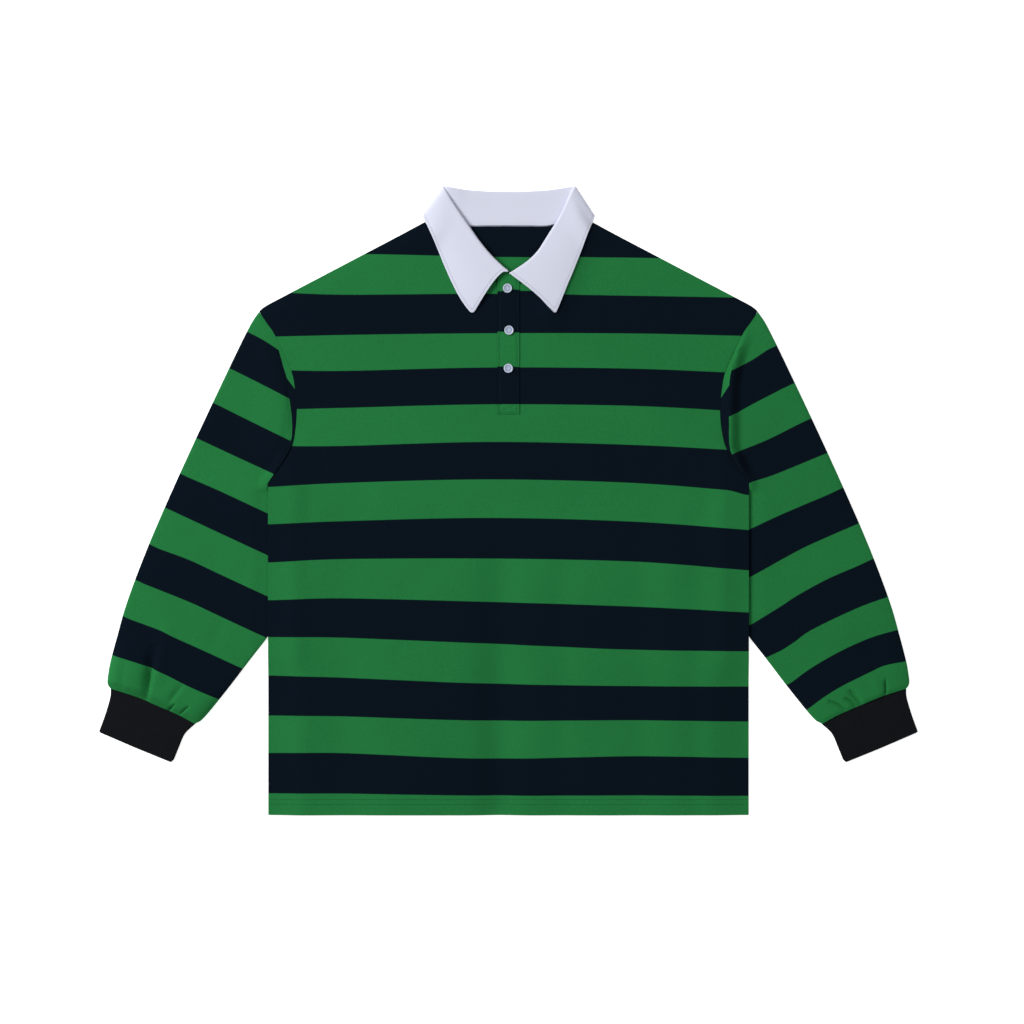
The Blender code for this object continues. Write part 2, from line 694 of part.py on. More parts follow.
def sleeve(name, side, look, home):
    lines = Sleeve(name)
    armhole = drawn(ARMHOLE, EDGE_SPACING)
    spans = np.gradient(armhole, axis=0)
    spans /= np.linalg.norm(spans, axis=1)[:, None]
    outward = np.stack([-spans[:, 1], spans[:, 0]], axis=1)
    start = armhole + outward * SEAM_GAP
    start[0] = SLEEVE_OUTER[0]
    start[-1] = SLEEVE_INNER[0]
    inner_edge = drawn(SLEEVE_INNER, EDGE_SPACING * 0.8)
    seam = evenly(curve_through(CUFF_SEAM, 6), EDGE_SPACING * 0.6)
    outer_edge = drawn(SLEEVE_OUTER, EDGE_SPACING)
    special = []
    share = nearest(armhole, lines.armhole)[1]
    width = lines.strip_width(share)
    for extra in (0.0, STRIP_DROP_WIDTH):
        strip = armhole + outward * (width + extra)[:, None]
        special += list(strip[width > STRIP_MESHED])
    special += list(armhole + outward * BESIDE_STRIP)
    for crease_start, middle, end, half, _ in lines.creases:
        line = evenly(curve_through((crease_start, middle, end), 6), CREASE_SPACING)
        across = np.gradient(line, axis=0)
        across = np.stack([-across[:, 1], across[:, 0]], axis=1)
        across /= np.linalg.norm(across, axis=1)[:, None]
        for offset in (0.0, -half, half):
            special += list(line + across * offset)
    sides = [mirrored(line, side) for line in (start, inner_edge, seam[::-1], outer_edge[::-1])]
    special = mirrored(special, side)
    return flat_tube(
        "sleeve_" + name,
        sides,
        SLEEVE_SPACING,
        special,
        lines.back_base,
        lines.front_base,
        CLOTH,
        look,
        home,
    )


def cuff(name, side, look, home):
    seam = evenly(curve_through(CUFF_SEAM, 6), EDGE_SPACING * 0.6)
    seam = seam + CUFF_OFFSET
    outer_edge = drawn(CUFF_OUTER, EDGE_SPACING)
    opening = evenly(CUFF_OPENING, EDGE_SPACING)
    inner_edge = drawn(CUFF_INNER, EDGE_SPACING)
    outer_edge[0], inner_edge[-1] = seam[0], seam[-1]
    opening[0], opening[-1] = outer_edge[-1], inner_edge[0]
    sides = [mirrored(line, side) for line in (seam[::-1], outer_edge, opening, inner_edge)]
    outline = np.vstack([line[:-1] for line in sides])

    def front(points):
        loft = CUFF_LOFT * smooth(0.0, CUFF_LOFT_WIDTH, nearest(points, np.vstack([outline, outline[:1]]))[0])
        return CUFF_CLOTH + GAP + loft

    def back(points):
        return np.zeros(len(points))

    return flat_tube("cuff_" + name, sides, CUFF_SPACING, (), back, front, CUFF_CLOTH, look, home)


def middle_points(low, high):
    """Mesh points along the placket's middle, clear of both ends."""
    clear = EDGE_SPACING / 2
    return np.array([(PLACKET_X, y) for y in np.arange(low + clear, high - clear, EDGE_SPACING)])


def placket(look, home):
    left, right = PLACKET_X - PLACKET_HALF, PLACKET_X + PLACKET_HALF
    turns = np.linspace(math.pi / 2, math.pi, 6)
    corner = np.stack([np.cos(turns), np.sin(turns)], axis=1) * PLACKET_CORNER
    corner += (left + PLACKET_CORNER, PLACKET_TOP_Y - PLACKET_CORNER)
    up = evenly(((right, PLACKET_LOW_Y), (right, PLACKET_TOP_Y - PLACKET_RIGHT_DROP)), EDGE_SPACING)
    down = evenly((corner[-1], (left, PLACKET_LOW_Y)), EDGE_SPACING)
    outline = np.vstack([up, corner, down[1:]])
    inner = middle_points(PLACKET_LOW_Y, PLACKET_TOP_Y)

    def base(points):
        return front_base(points) + LAYER

    return sheet("placket", outline, inner, base, CLOTH, look, home)


def placket_under(look, home):
    left, right = PLACKET_X - SLIT_HALF + GAP, PLACKET_X + SLIT_HALF - GAP
    low = SLIT_LOW_Y + GAP
    up = evenly(((right, low), (right, UNDER_TOP_Y)), EDGE_SPACING)
    down = evenly(((left, UNDER_TOP_Y), (left, low)), EDGE_SPACING)
    inner = middle_points(low, UNDER_TOP_Y)
    return sheet("placket_under", np.vstack([up, down]), inner, front_base, CLOTH, look, home)


def button(name, y, look, home):
    """A turned button with a raised rim."""
    profile = (
        # radius, height
        (0.0, BUTTON_HEIGHT - BUTTON_RECESS),
        (BUTTON_RADIUS - BUTTON_RIM, BUTTON_HEIGHT - BUTTON_RECESS),
        (BUTTON_RADIUS - BUTTON_RIM * 0.7, BUTTON_HEIGHT),
        (BUTTON_RADIUS - BUTTON_RIM * 0.3, BUTTON_HEIGHT),
        (BUTTON_RADIUS, BUTTON_HEIGHT * 0.7),
        (BUTTON_RADIUS, BUTTON_HEIGHT * 0.4),
        (BUTTON_RADIUS * 0.8, 0.0),
        (0.0, 0.0),
    )
    mesh = bpy.data.meshes.new(name)
    edges = [(i, i + 1) for i in range(len(profile) - 1)]
    mesh.from_pydata([(radius, 0.0, height) for radius, height in profile], edges, [])
    mesh.materials.append(look)
    made = bpy.data.objects.new(name, mesh)
    home.objects.link(made)
    place = np.array([(BUTTON_X, y)])
    made.location = (BUTTON_X, y, front_base(place)[0] + CLOTH + LAYER + GAP)
    turned = made.modifiers.new("turned", "SCREW")
    turned.steps = turned.render_steps = BUTTON_STEPS
    turned.use_merge_vertices = True
    turned.merge_threshold = 0.00001
    turned.use_smooth_shade = True
    return made


def collar_section(row):
    """One section of the collar's middle surface, from the neck seam to the outer edge."""
    seam_x, seam_y, roll_x, roll_y, roll_z, radius, turn, edge_x, edge_y, bow = row
    turn = math.radians(turn)
    seam, roll, edge = np.array((seam_x, seam_y)), np.array((roll_x, roll_y)), np.array((edge_x, edge_y))
    forward = (roll - seam) / np.linalg.norm(roll - seam)
    outward = np.array((-forward[1], forward[0]))
    if outward @ (edge - roll) < 0:
        outward = -outward
    normal = np.array((*(math.sin(turn) * outward), math.cos(turn)))
    ahead = np.array((*forward, 0.0))
    centre = np.array((*roll, roll_z)) - ahead * radius
    in_front = (1 + math.cos(turn)) / 2
    over_placket = 1 - smooth(*COLLAR_END_REACH, abs(seam_x - PLACKET_X))
    seam_front = front_base(seam[None])[0] + CLOTH / 2 + COLLAR_END_LIFT * over_placket
    seam_back = back_base(seam[None])[0] + COLLAR_CLOTH / 2
    edge_front = front_base(edge[None])[0] + CLOTH + COLLAR_REST_GAP + COLLAR_CLOTH / 2
    edge_back = COLLAR_CLOTH / 2
    start = np.array((*seam, in_front * seam_front + (1 - in_front) * seam_back))
    stop = np.array((*edge, in_front * edge_front + (1 - in_front) * edge_back))
    stand_top, fall_top = centre - normal * radius, centre + normal * radius
    points = [start + (stand_top - start) * i / STAND_STEPS for i in range(STAND_STEPS)]
    for i in range(ROLL_STEPS + 1):
        angle = -math.pi / 2 + math.pi * i / ROLL_STEPS
        points.append(centre + radius * (math.sin(angle) * normal + math.cos(angle) * ahead))
    along = (edge - roll) / np.linalg.norm(edge - roll)
    across = np.array((-along[1], along[0], 0.0))
    if across[1] < 0:
        across = -across
    for i in range(1, FALL_STEPS + 1):
        share = i / FALL_STEPS
        skewed = math.sqrt(share)
        place = fall_top + (stop - fall_top) * share
        place += across * bow * 4 * skewed * (1 - skewed)
        place[2] += COLLAR_ARCH * in_front * math.sin(math.pi * share)
        points.append(place)
    return points


def collar(look, home):
    rows = curve_through(collar_rows(), SECTIONS_PER_ROW)
    sections = [collar_section(row) for row in rows]
    width = len(sections[0])
    points = [p for section in sections for p in section]
    faces = []
    for s in range(len(sections) - 1):
        for w in range(width - 1):
            a = s * width + w
            faces.append((a, a + 1, a + 1 + width, a + width))
    made = add_object("collar", points, faces, look, home, closed=False)
    thick = made.modifiers.new("cloth", "SOLIDIFY")
    thick.thickness = COLLAR_CLOTH
    thick.offset = 0.0
    return made


def build():
    for old in list(bpy.data.objects):
        bpy.data.objects.remove(old, do_unlink=True)
    home = collection_named("polo_shirt")
    green = material("green_jersey", GREEN, 0.85)
    navy = material("navy_jersey", NAVY, 0.85)
    white = material("white_twill", WHITE, 0.8)
    black = material("black_rib", CUFF_BLACK, 0.9)
    pale = material("pale_button", BUTTON_BLUE, 0.35)
    back_panel(navy, home)
    front_panel(green, home)
    for name, side in (("right", -1), ("left", 1)):
        sleeve(name, side, green, home)
        cuff(name, side, black, home)
    collar(white, home)
    placket_under(navy, home)
    placket(green, home)
    for number, y in enumerate(BUTTON_YS, 1):
        button(f"button_{number}", y, pale, home)


build()
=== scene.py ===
import math

import bmesh
import bpy
import numpy as np
from mathutils import Matrix, Vector
from mathutils.geometry import delaunay_2d_cdt
from mathutils.kdtree import KDTree


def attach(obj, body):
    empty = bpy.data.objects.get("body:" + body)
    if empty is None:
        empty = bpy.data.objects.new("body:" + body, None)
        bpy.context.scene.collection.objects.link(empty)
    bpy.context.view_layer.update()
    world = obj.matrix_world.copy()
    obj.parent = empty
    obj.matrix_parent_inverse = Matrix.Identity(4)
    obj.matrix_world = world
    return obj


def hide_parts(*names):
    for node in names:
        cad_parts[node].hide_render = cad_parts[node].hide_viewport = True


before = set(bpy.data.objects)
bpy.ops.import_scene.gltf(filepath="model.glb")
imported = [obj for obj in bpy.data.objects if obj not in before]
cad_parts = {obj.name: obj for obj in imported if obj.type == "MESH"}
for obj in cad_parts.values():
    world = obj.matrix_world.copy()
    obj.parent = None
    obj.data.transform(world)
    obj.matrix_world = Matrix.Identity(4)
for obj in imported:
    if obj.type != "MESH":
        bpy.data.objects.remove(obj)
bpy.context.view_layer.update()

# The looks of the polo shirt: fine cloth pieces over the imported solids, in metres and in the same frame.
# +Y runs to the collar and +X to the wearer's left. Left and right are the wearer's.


def metres(*rows):
    """An array in metres of rows in millimetres."""
    return np.array(rows, float) / 1000


# Cloth
CLOTH = 0.0012
COLLAR_CLOTH = 0.0016
CUFF_CLOTH = 0.0015
GAP = 0.0003
LAYER = CLOTH + GAP
SEAM_GAP = 0.00008
NECK_GAP = 0.0012

# Body: half of the chest, hem and underarm
SIDE = 0.300
HEM_Y = -0.3925
UNDERARM_Y = 0.0222
SHOULDER_SLOPE = 0.527
NECK_POINT_X = 0.0858
NECK_POINT_Y = 0.3577
SHOULDER_START = (NECK_POINT_X + 0.0008, NECK_POINT_Y - 0.0006)

# The armhole seam from the shoulder to the underarm, and the rounded end of the shoulder, as x and y
ARMHOLE = metres(
    (311.2, 236.2), (302.0, 222.0), (291.3, 206.0), (271.5, 163.0), (266.4, 138.2), (264.4, 115.2),
    (265.8, 92.2), (271.0, 68.4), (282.0, 48.0), (292.6, 32.9), (300.0, 22.2),
)
SHOULDER_END = metres((289.0, 250.8), (301.0, 244.4), (308.0, 239.7), (311.2, 236.2))

# The sleeve's long edges, from the body to the cuff. The inner one starts under the body.
SLEEVE_OUTER = metres(
    (311.6, 236.1), (325.6, 213.4), (361.9, 138.4), (405.6, 44.7), (446.9, -49.0), (475.6, -124.0),
    (489.5, -172.0), (495.0, -193.0), (497.8, -205.0), (499.6, -216.0), (500.7, -225.5),
    (500.0, -230.5), (496.9, -234.4),
)
SLEEVE_INNER = metres(
    (300.04, 22.12), (300.04, 13.0), (298.6, 11.4), (295.5, 9.0), (292.5, 3.0), (290.0, -8.0),
    (284.0, -35.0), (277.5, -74.0), (279.4, -124.0), (289.0, -150.0), (301.0, -170.3),
    (323.1, -199.0), (351.9, -236.6), (380.0, -270.8), (391.4, -278.6),
)

# The cuff's edges, as x and y
CUFF_SEAM = metres((496.9, -234.4), (465.1, -244.5), (438.0, -256.0), (411.5, -267.5), (391.4, -278.6))
CUFF_SEAM_GAP = (-0.00003, -0.00009)
CUFF_OUTER = metres((496.9, -234.7), (497.4, -245.0), (503.1, -265.2), (511.3, -288.0))
CUFF_OPENING = metres((511.3, -289.0), (462.9, -309.8), (422.5, -326.2), (420.8, -326.6), (419.0, -325.6))
CUFF_INNER = metres((417.8, -323.2), (411.5, -307.6), (404.0, -291.0), (391.4, -278.9))
CUFF_LOFT = 0.0006
CUFF_SLOPE = 0.02
ACROSS_RIBS = (0.924, 0.383)

# What lies under the body: the sleeve's tuck below the underarm, and the collar's back fall
TUCK_LIFT = 0.0034
TUCK_XS = (0.246, 0.272)
TUCK_YS = (-0.228, -0.190, UNDERARM_Y + 0.002, 0.080)
FALL_LIFT = COLLAR_CLOTH + 2 * GAP
FALL_XS = (0.108, 0.140)
FALL_YS = (0.308, 0.330)

# The air between front and back, and how it closes at the side seams and at the shoulder
BODY_LOFT = 0.0010
LOW_LOFT = 0.0034
LOW_LOFT_YS = (-0.12, 0.08)
SIDE_SLOPE = 0.055
SIDE_SLOPE_TOP = 0.1
SHOULDER_WIDTH = 0.016
RIPPLE = 0.00008

# Soft folds of the front, in millimetres. A negative height is a trough.
FOLD_FADE = 50
BODY_FOLDS = (
    # x, low y, high y, half width, height
    (-10, -430, -40, 24, -3.6), (-14, -430, -180, 22, -1.4), (65, -430, -60, 18, -1.4),
    (164, -430, -20, 22, -1.5), (233, -430, 10, 16, -1.3), (-205, -430, 10, 30, -1.8),
    (-262, -430, -90, 14, 1.0),
)

# The front rises under the collar's left leaf and falls away beyond it, from the first point to the second
LEAF_RISE = metres((93, 345), (55, 238))
LEAF_RISE_HALF = 0.018
LEAF_RISE_HEIGHT = 0.0045

# Creases, in millimetres: each is a bent line with its own half width on either side
BACK_FOLDS = (
    # start x and y, middle x and y, end x and y, outer half width, inner half width, height, sharpness
    (-150, -400, -136, -230, -150, -60, 14, 10, 0.9, 2),
    (42, -400, 30, -250, 44, -110, 12, 14, 0.8, 2),
    (192, -370, 206, -190, 196, -20, 12, 10, 0.8, 2),
)
SLEEVE_BACK_FOLDS = (
    (470, -170, 476, -205, 479, -238, 5, 3.5, 1.1, 2),
    (424, -190, 428, -222, 434, -256, 6, 3, 1.2, 2),
    (394, -228, 404, -248, 410, -266, 3, 3, 1, 2),
    (372, -120, 390, -150, 402, -185, 10, 8, 0.7, 2),
)
SLEEVE_CREASES = {
    "right": (
        (440, -180, 445.5, -213.5, 451.5, -254, 7.6, 2.6, -8.6, 1.5),
        (424, -150, 430, -190, 437, -230, 8, 8, 1.4, 2),
        (414, -252.5, 420.5, -259, 427, -266, 2, 1, -3, 1.4),
        (396.5, -255.5, 403.5, -261.2, 410.5, -268, 2, 1, -3, 1.4),
        (404, -228, 414.5, -241, 424, -254, 5, 3, -2.2, 1.6),
        (352, -140, 362, -165, 374, -190, 10, 7, -1, 2),
        (476, -190, 480, -215, 484, -245, 6, 5, -0.8, 2),
        (314, -52, 328, -80, 340, -112, 12, 10, -0.8, 2),
    ),
    "left": (
        (419, -245, 430, -252, 438.5, -261, 1, 2.8, -3.6, 1.3),
        (425.5, -235, 434, -245, 442, -257, 1.2, 3.2, -3.6, 1.3),
        (398.5, -249, 413, -255.5, 425, -265, 1.2, 3, -3.4, 1.3),
        (470.8, -221.5, 471.1, -233, 471.2, -246, 0.8, 2, -3.6, 1.3),
        (412, -218, 426, -233, 442, -252, 5, 8, -1.4, 2),
        (446, -205, 458, -225, 464, -250, 6, 6, 0.7, 2),
        (428, -130, 450, -180, 462, -220, 12, 12, -0.8, 2),
    ),
}
SOFT_CREASE = 2
CREASE_TAPER = 0.6

# The strip of sleeve between the armhole seam and the crease beside it: its width down the seam
SEAM_STRIP = {
    # share of the seam, width
    "right": (
        (0, 0), (0.16, 0), (0.24, 0.0043), (0.33, 0.0076), (0.46, 0.0085), (0.51, 0.0085),
        (0.56, 0.0075), (0.63, 0.0053), (0.74, 0.0018), (0.94, 0.0012), (1, 0),
    ),
    "left": (
        (0, 0), (0.20, 0), (0.30, 0.0035), (0.37, 0.0066), (0.44, 0.0078), (0.50, 0.0094),
        (0.60, 0.0100), (0.66, 0.0090), (0.72, 0.0066), (0.82, 0.0014), (0.94, 0.0012), (1, 0),
    ),
}
LEAST_STRIP = 0.0005
STRIP_RISE = {"right": 0.0003, "left": 0.0080}
STRIP_RAMP = 0.0035
STRIP_DROP = {"right": (0.0, 0.0035), "left": (0.0020, 0.0165)}
# Shares of the seam over which the strip starts, grows, is at its full height and ends
STRIP_START = 0.06
STRIP_GROWTH = 0.10
STRIP_FULL = (0.08, 0.32, 0.86, 0.98)
# The strip's crease has mesh lines where it is wider than this and above this height
CREASED_WIDTH = 0.0018
CREASED_Y = 0.026

# The swell of the sleeve beyond the strip: how far out it is highest, its half widths and its height
SWELL = {"right": (0.020, 0.012, 0.030, 0.0026), "left": (0.030, 0.012, 0.030, 0.0004)}
SWELL_SHARES = (0.1, 0.3, 0.8, 0.95)

# The sleeve's air, its blouse above the cuff, and how its back comes down from the body's level
SEAM_FALL_WIDTH = 0.014
SLEEVE_LOFT = 0.0006
SLEEVE_PUFF = 0.0008
LEAST_LOFT = 0.0012
BLOUSE = {"right": 0.0084, "left": 0.0026}
BLOUSE_PLACES = {"right": (-0.004, 0.012, 0.020, 0.075), "left": (-0.004, 0.006, 0.020, 0.075)}
BLOUSE_EDGE = 0.022
# The loft ends where the sleeve goes under the body: between these two x, and further in above this y
UNDER_BODY_XS = (SIDE + 0.004, SIDE + 0.022)
UNDER_BODY_Y = 0.012
UNDER_BODY_SLOPE = 10

# Placket, at the middle of the front
PLACKET_X = 0.0001
PLACKET_HALF = 0.0138
PLACKET_TOP_Y = 0.2855
PLACKET_LOW_Y = 0.1084
PLACKET_CORNER = 0.012
PLACKET_RIGHT_TOP = PLACKET_TOP_Y - 0.010
PLACKET_RIM = 0.0003
PLACKET_RIM_XS = (0.0006, 0.0022)
PLACKET_THIN = 0.0006
PLACKET_THIN_X = 0.0116
SLIT_HALF = 0.0110
SLIT_TOP_Y = 0.271
SLIT_LOW_Y = 0.1210
UNDER_TOP_Y = 0.2740

# Stitching
HEM_TOP_Y = -0.3700
HEM_STEP = 0.0012
HEM_RISE = 0.0003
HEM_STITCH_X = SIDE - 0.002
HEM_STITCH_YS = (-0.3728, -0.3788)
PLACKET_STITCH_XS = (-0.0110, 0.0110)
PLACKET_GROOVES = (0.0003, 0.0007)
GROOVE_HALF = 0.0009
BOX_LOW_Y = PLACKET_LOW_Y + 0.0014
BOX_TOP_Y = 0.1206
BOX_GROOVE = 0.0009
STITCH_TOP_Y = 0.2740
COLLAR_STITCH = 0.0034
COLLAR_STITCH_LEAST = 0.97 * COLLAR_STITCH
STITCH_STEP = 0.0030
STITCH_SHARE = 0.75
STITCH_RADIUS = 0.00022
STITCH_SIDES = 6
# One stitch along its length: the place, as a share, and the size there
STITCH_RINGS = ((-0.5, 0.0), (-0.36, 0.8), (0.0, 1.0), (0.36, 0.8), (0.5, 0.0))

# Buttons
BUTTON_PLACES = ((-0.0012, 0.2650), (0.0007, 0.2126), (-0.0001, 0.1651))
BUTTON_RADIUS = 0.00575
BUTTON_HEIGHT = 0.0024
BUTTON_RIM = 0.0014
BUTTON_RECESS = 0.0006
BUTTON_GAP = 0.0003
# The face from the dish to the outer edge: shares of the rim inwards, and the height
BUTTON_FACE = (
    (1.15, BUTTON_HEIGHT - BUTTON_RECESS),
    (0.75, BUTTON_HEIGHT - BUTTON_RECESS * 0.15),
    (0.45, BUTTON_HEIGHT),
    (0.15, BUTTON_HEIGHT * 0.92),
    (0.0, BUTTON_HEIGHT * 0.7),
)
BUTTON_LOW_RINGS = ((BUTTON_RADIUS, BUTTON_HEIGHT * 0.4), (BUTTON_RADIUS * 0.8, 0.0))
BUTTON_RINGS = 33
BUTTON_SIDES = 72
HOLE_PLACE = 0.0011
HOLE_RADIUS = 0.00060
HOLE_EDGE = (HOLE_RADIUS * 0.75, HOLE_RADIUS * 1.15)
HOLE_DEPTH = 0.0009
BUTTON_THREAD_RADIUS = 0.00028
BUTTON_THREAD_REACH = HOLE_PLACE * 1.3
RING_PLACE = 0.56

# The collar from a front end to the middle of the back, in millimetres, one row for each section. A section
# runs from the neck seam up the stand, round the roll and down the fall to the outer edge.
COLLAR_RIGHT = (
    # seam x, seam y, roll x, roll y, roll z, edge x, edge y, bow
    (-18, 275, -0.1, 285.9, 8.8, -42, 236.8, 5.5),
    (-20.5, 276.5, -3.8, 288.8, 8.6, -45, 234.9, 4),
    (-25, 279.5, -9.1, 293.5, 8.3, -49.4, 237.4, 2.5),
    (-38, 287, -22, 306.1, 8, -60.7, 253.2, 0.5),
    (-54, 300, -35.9, 322.8, 7.8, -71.1, 273.3, 0),
    (-67, 318, -47, 338.6, 7.6, -79.3, 291.7, 0),
    (-78, 338, -63.2, 361.8, 7.4, -90.8, 319.5, 0),
    (-83, 352, -74.4, 379.7, 7, -99.8, 340.2, 0),
    (-84.3, 356.5, -78.9, 388, 6.2, -104.9, 350, 0),
    (-84.8, 358.9, -80.8, 391.9, 4.5, -106.9, 356.4, 0),
    (-83.8, 359.2, -78.5, 391.6, 4.4, -104.7, 355.1, 0),
    (-79, 356.5, -72.5, 390.9, 4.8, -96, 347.5, 0),
    (-67, 349.5, -62, 389.1, 4.2, -80, 342, 0),
    (-49, 344, -48.1, 387.3, 2.7, -55, 338.5, 0),
    (-24, 343.8, -24, 385.8, 2.1, -28, 337, 0),
    (0.5, 343.9, 0.5, 385.4, 2.1, 0.5, 336.7, 0),
)
COLLAR_LEFT = (
    (19, 272, 1.1, 283.2, 8.6, 55.2, 236.9, 1.8),
    (21.5, 274.5, 4.3, 285, 8.5, 58, 234.5, 1.3),
    (26, 279, 9.1, 288, 8.3, 60.6, 237.5, 0.8),
    (40, 288, 23.6, 298, 8, 66.7, 252, 0),
    (58, 302, 36.6, 310.7, 7.8, 73.5, 269, 0),
    (69, 319, 48.8, 329.5, 7.6, 81.5, 288, 0),
    (79, 340, 65.2, 356.2, 7.4, 92.5, 316, 0),
    (83.5, 353, 74.8, 377, 7, 100.5, 337.5, 0),
    (84.8, 356.8, 79.5, 387.2, 6.2, 105.4, 348.8, 0),
    (85.3, 358.9, 82.6, 391.7, 4.5, 107.1, 355.7, 0),
    (84.3, 359.2, 80.4, 391.5, 3, 103.8, 352.5, 0),
    (79.5, 356.5, 73.8, 390.9, 2.3, 96.5, 347.5, 0),
    (67.5, 349.5, 63, 389.1, 2.1, 80.5, 342, 0),
    (50, 344, 49, 387.3, 2.1, 56, 338.5, 0),
    (25, 343.8, 25, 385.8, 2.1, 29, 337, 0),
)
# The roll's radius in each row, and its turn: 0 where the fall lies over the stand, in front, and 180 where
# it lies under the stand, at the back
COLLAR_ROLL = (
    (1.3, 0), (1.4, 0), (1.6, 0), (2, 0), (2.2, 0), (2.2, 0), (2.1, 0), (2, 10),
    (2, 40), (1.9, 90), (1.6, 140), (1.3, 172), (1.2, 180), (1.2, 180), (1.2, 180), (1.2, 180),
)
COLLAR_FRONT_ROWS = 9
NECK_STEPS = 6
COLLAR_ARCH = 0.0010
COLLAR_REST_GAP = 0.0006
BOW_SKEW_RIGHT = 0.5
BOW_SKEW_LEFT = 1.2
STAND_BOW = 0.9
COLLAR_END_LIFT = 0.0033
COLLAR_END_XS = (0.020, 0.045)
STAND_STEPS = 6
ROLL_STEPS = 10
FALL_STEPS = 24
FALL_START = STAND_STEPS + ROLL_STEPS
SECTIONS_PER_ROW = 7
FRONT_SECTIONS = 28
LEAF_SECTIONS = 50
FAR_FROM_EDGE = 0.02

# Stripes, in millimetres: the height of each edge between two colours, from the top down, at five stations
BAND = 46.0
BODY_STATIONS = (-295.6, -205.6, -25.6, 154.4, 299.4)
BODY_STRIPES = (
    (305.9, 308.4, 304.7, 303.4, 300.9),
    (260.9, 257.2, 258.4, 255.9, 253.4),
    (204.5, 206.8, 208.9, 208.7, 205.6),
    (163.4, 162.1, 166.4, 164.9, 159.0),
    (113.4, 115.9, 120.3, 118.4, 110.9),
    (68.4, 68.4, 73.4, 69.7, 62.2),
    (17.2, 22.2, 26.6, 22.2, 10.9),
    (-29.3, -25.5, -21.4, -26.0, -36.4),
    (-77.0, -72.9, -72.2, -75.8, -86.9),
    (-124.1, -121.8, -126.2, -132.0, -139.4),
    (-170.1, -171.0, -178.3, -186.0, -188.0),
    (-218.2, -220.8, -228.2, -231.2, -232.0),
    (-268.2, -269.2, -274.4, -273.8, -275.8),
    (-314.9, -314.8, -321.8, -318.6, -321.0),
    (-365.4, -365.4, -367.9, -367.6, -368.6),
)
# How far a stripe number may run on beyond the first and last edge
PAST_EDGE = 0.9
# The stripes' step at the placket, from its right side to its left, at the top, and where it ends
PLACKET_STRIPE_RISES = (3.2, 1.1)
PLACKET_RISE_YS = (121.0, 262.0)
# One stripe's low edge dips towards the left side seam: by this much, between these x and these heights
SEAM_DIP = 4.0
SEAM_DIP_XS = (272.0, 300.0)
SEAM_DIP_YS = (-10.0, 0.0, 30.0, 40.0)
# The stripes rise beside the top of the placket, between these four places and above these two heights
NECK_RISE = 4.0
NECK_RISE_XS = (-14.0, 12.0, 40.0, 70.0)
NECK_RISE_YS = (228.0, 252.0)

# Each edge of a sleeve's stripes as points of x and y, with x from the middle of the body outwards
SLEEVE_STRIPES = {
    "right": (
        ((285.6, 187.2), (304.4, 199.7), (323.1, 209.7)),
        ((273.1, 127.2), (304.4, 143.4), (341.9, 162.2)),
        ((271.9, 74.7), (323.1, 99.7), (360.6, 118.4)),
        ((293.1, 33.4), (341.9, 55.9), (379.4, 73.4)),
        ((304.4, -14.1), (360.6, 12.2), (398.1, 28.4)),
        ((304.4, -66.6), (341.9, -49.1), (379.4, -31.6), (416.9, -14.1)),
        ((304.4, -117.8), (360.6, -91.6), (398.1, -74.1), (435.6, -60.3)),
        ((304.4, -170.3), (360.6, -144.1), (398.1, -126.6), (454.4, -104.1)),
        ((330.6, -210.3), (379.4, -187.8), (416.9, -170.9), (435.6, -161.6), (473.1, -147.8)),
        ((362.4, -247.4), (398.1, -231.6), (429.4, -215.9), (454.4, -205.3), (493.8, -192.8)),
    ),
    "left": (
        ((285.6, 165.9), (304.4, 175.9), (323.1, 188.4)),
        ((285.6, 109.7), (304.4, 120.3), (341.9, 139.7)),
        ((285.6, 60.9), (323.1, 75.9), (360.6, 94.7)),
        ((304.4, 23.8), (323.0, 29.5), (341.9, 36.5), (398.1, 59.7)),
        ((304.4, -34.1), (341.9, -16.6), (398.1, 7.2)),
        ((304.4, -94.1), (360.6, -62.8), (398.1, -45.3), (435.6, -29.1)),
        ((304.4, -154.0), (339.0, -132.4), (360.6, -118.3), (398.1, -97.8), (435.6, -81.6)),
        ((341.9, -186.5), (358.0, -175.8), (379.4, -160.8), (435.6, -134.1), (473.1, -120.3)),
        ((351.9, -227.8), (379.4, -207.8), (416.9, -186.6), (454.4, -170.3), (489.4, -160.3)),
        (
            (373.1, -260.3), (393.1, -245.3), (414.4, -232.2), (451.9, -213.4), (470.6, -205.3),
            (496.9, -200.3),
        ),
    ),
}
# Each edge runs on to these two x, at this slope
SLEEVE_STRIPE_XS = (240.0, 530.0)
SLEEVE_STRIPE_SLOPE = 0.47
# Where the strip's green ends: a line's x and y in millimetres, and its slope
STRIP_SPLIT = {"right": (266.1, 138.6, 1.36), "left": (266.1, 129.7, 1.59)}
# The stripe numbers that the strip keeps to
STRIP_NUMBERS = (1.1, 2.9)

# Mesh spacing
BODY_SPACING = 0.0048
FINE_SPACING = 0.0026
SLEEVE_SPACING = 0.0044
CREASE_SPACING = 0.0013
HOLLOW_SPACING = 0.0060
EDGE_SPACING = 0.0040
STRAIGHT_SPACING = EDGE_SPACING * 1.4
PLACKET_SPACING = 0.0016
RIM_STEP = 0.0010
# The body's fine mesh: up to this height above the hem, and outside this x below this y
FINE_HEM = 0.028
FINE_SIDE_X = 0.270
FINE_SIDE_Y = 0.05
# The sleeve's fine mesh: this near the armhole, near the cuff and round it
NEAR_ARMHOLE = 0.022
NEAR_CUFF = 0.036
ROUND_CUFF = 0.070
FOLD_ROUNDING = 0.0010
CORNER_ROUNDNESS = 0.1
FOLD_ANGLES = (60, 30, 0, -30, -60)
EDGE_SOFTNESS = 0.0004
SHARP_ANGLE = 50

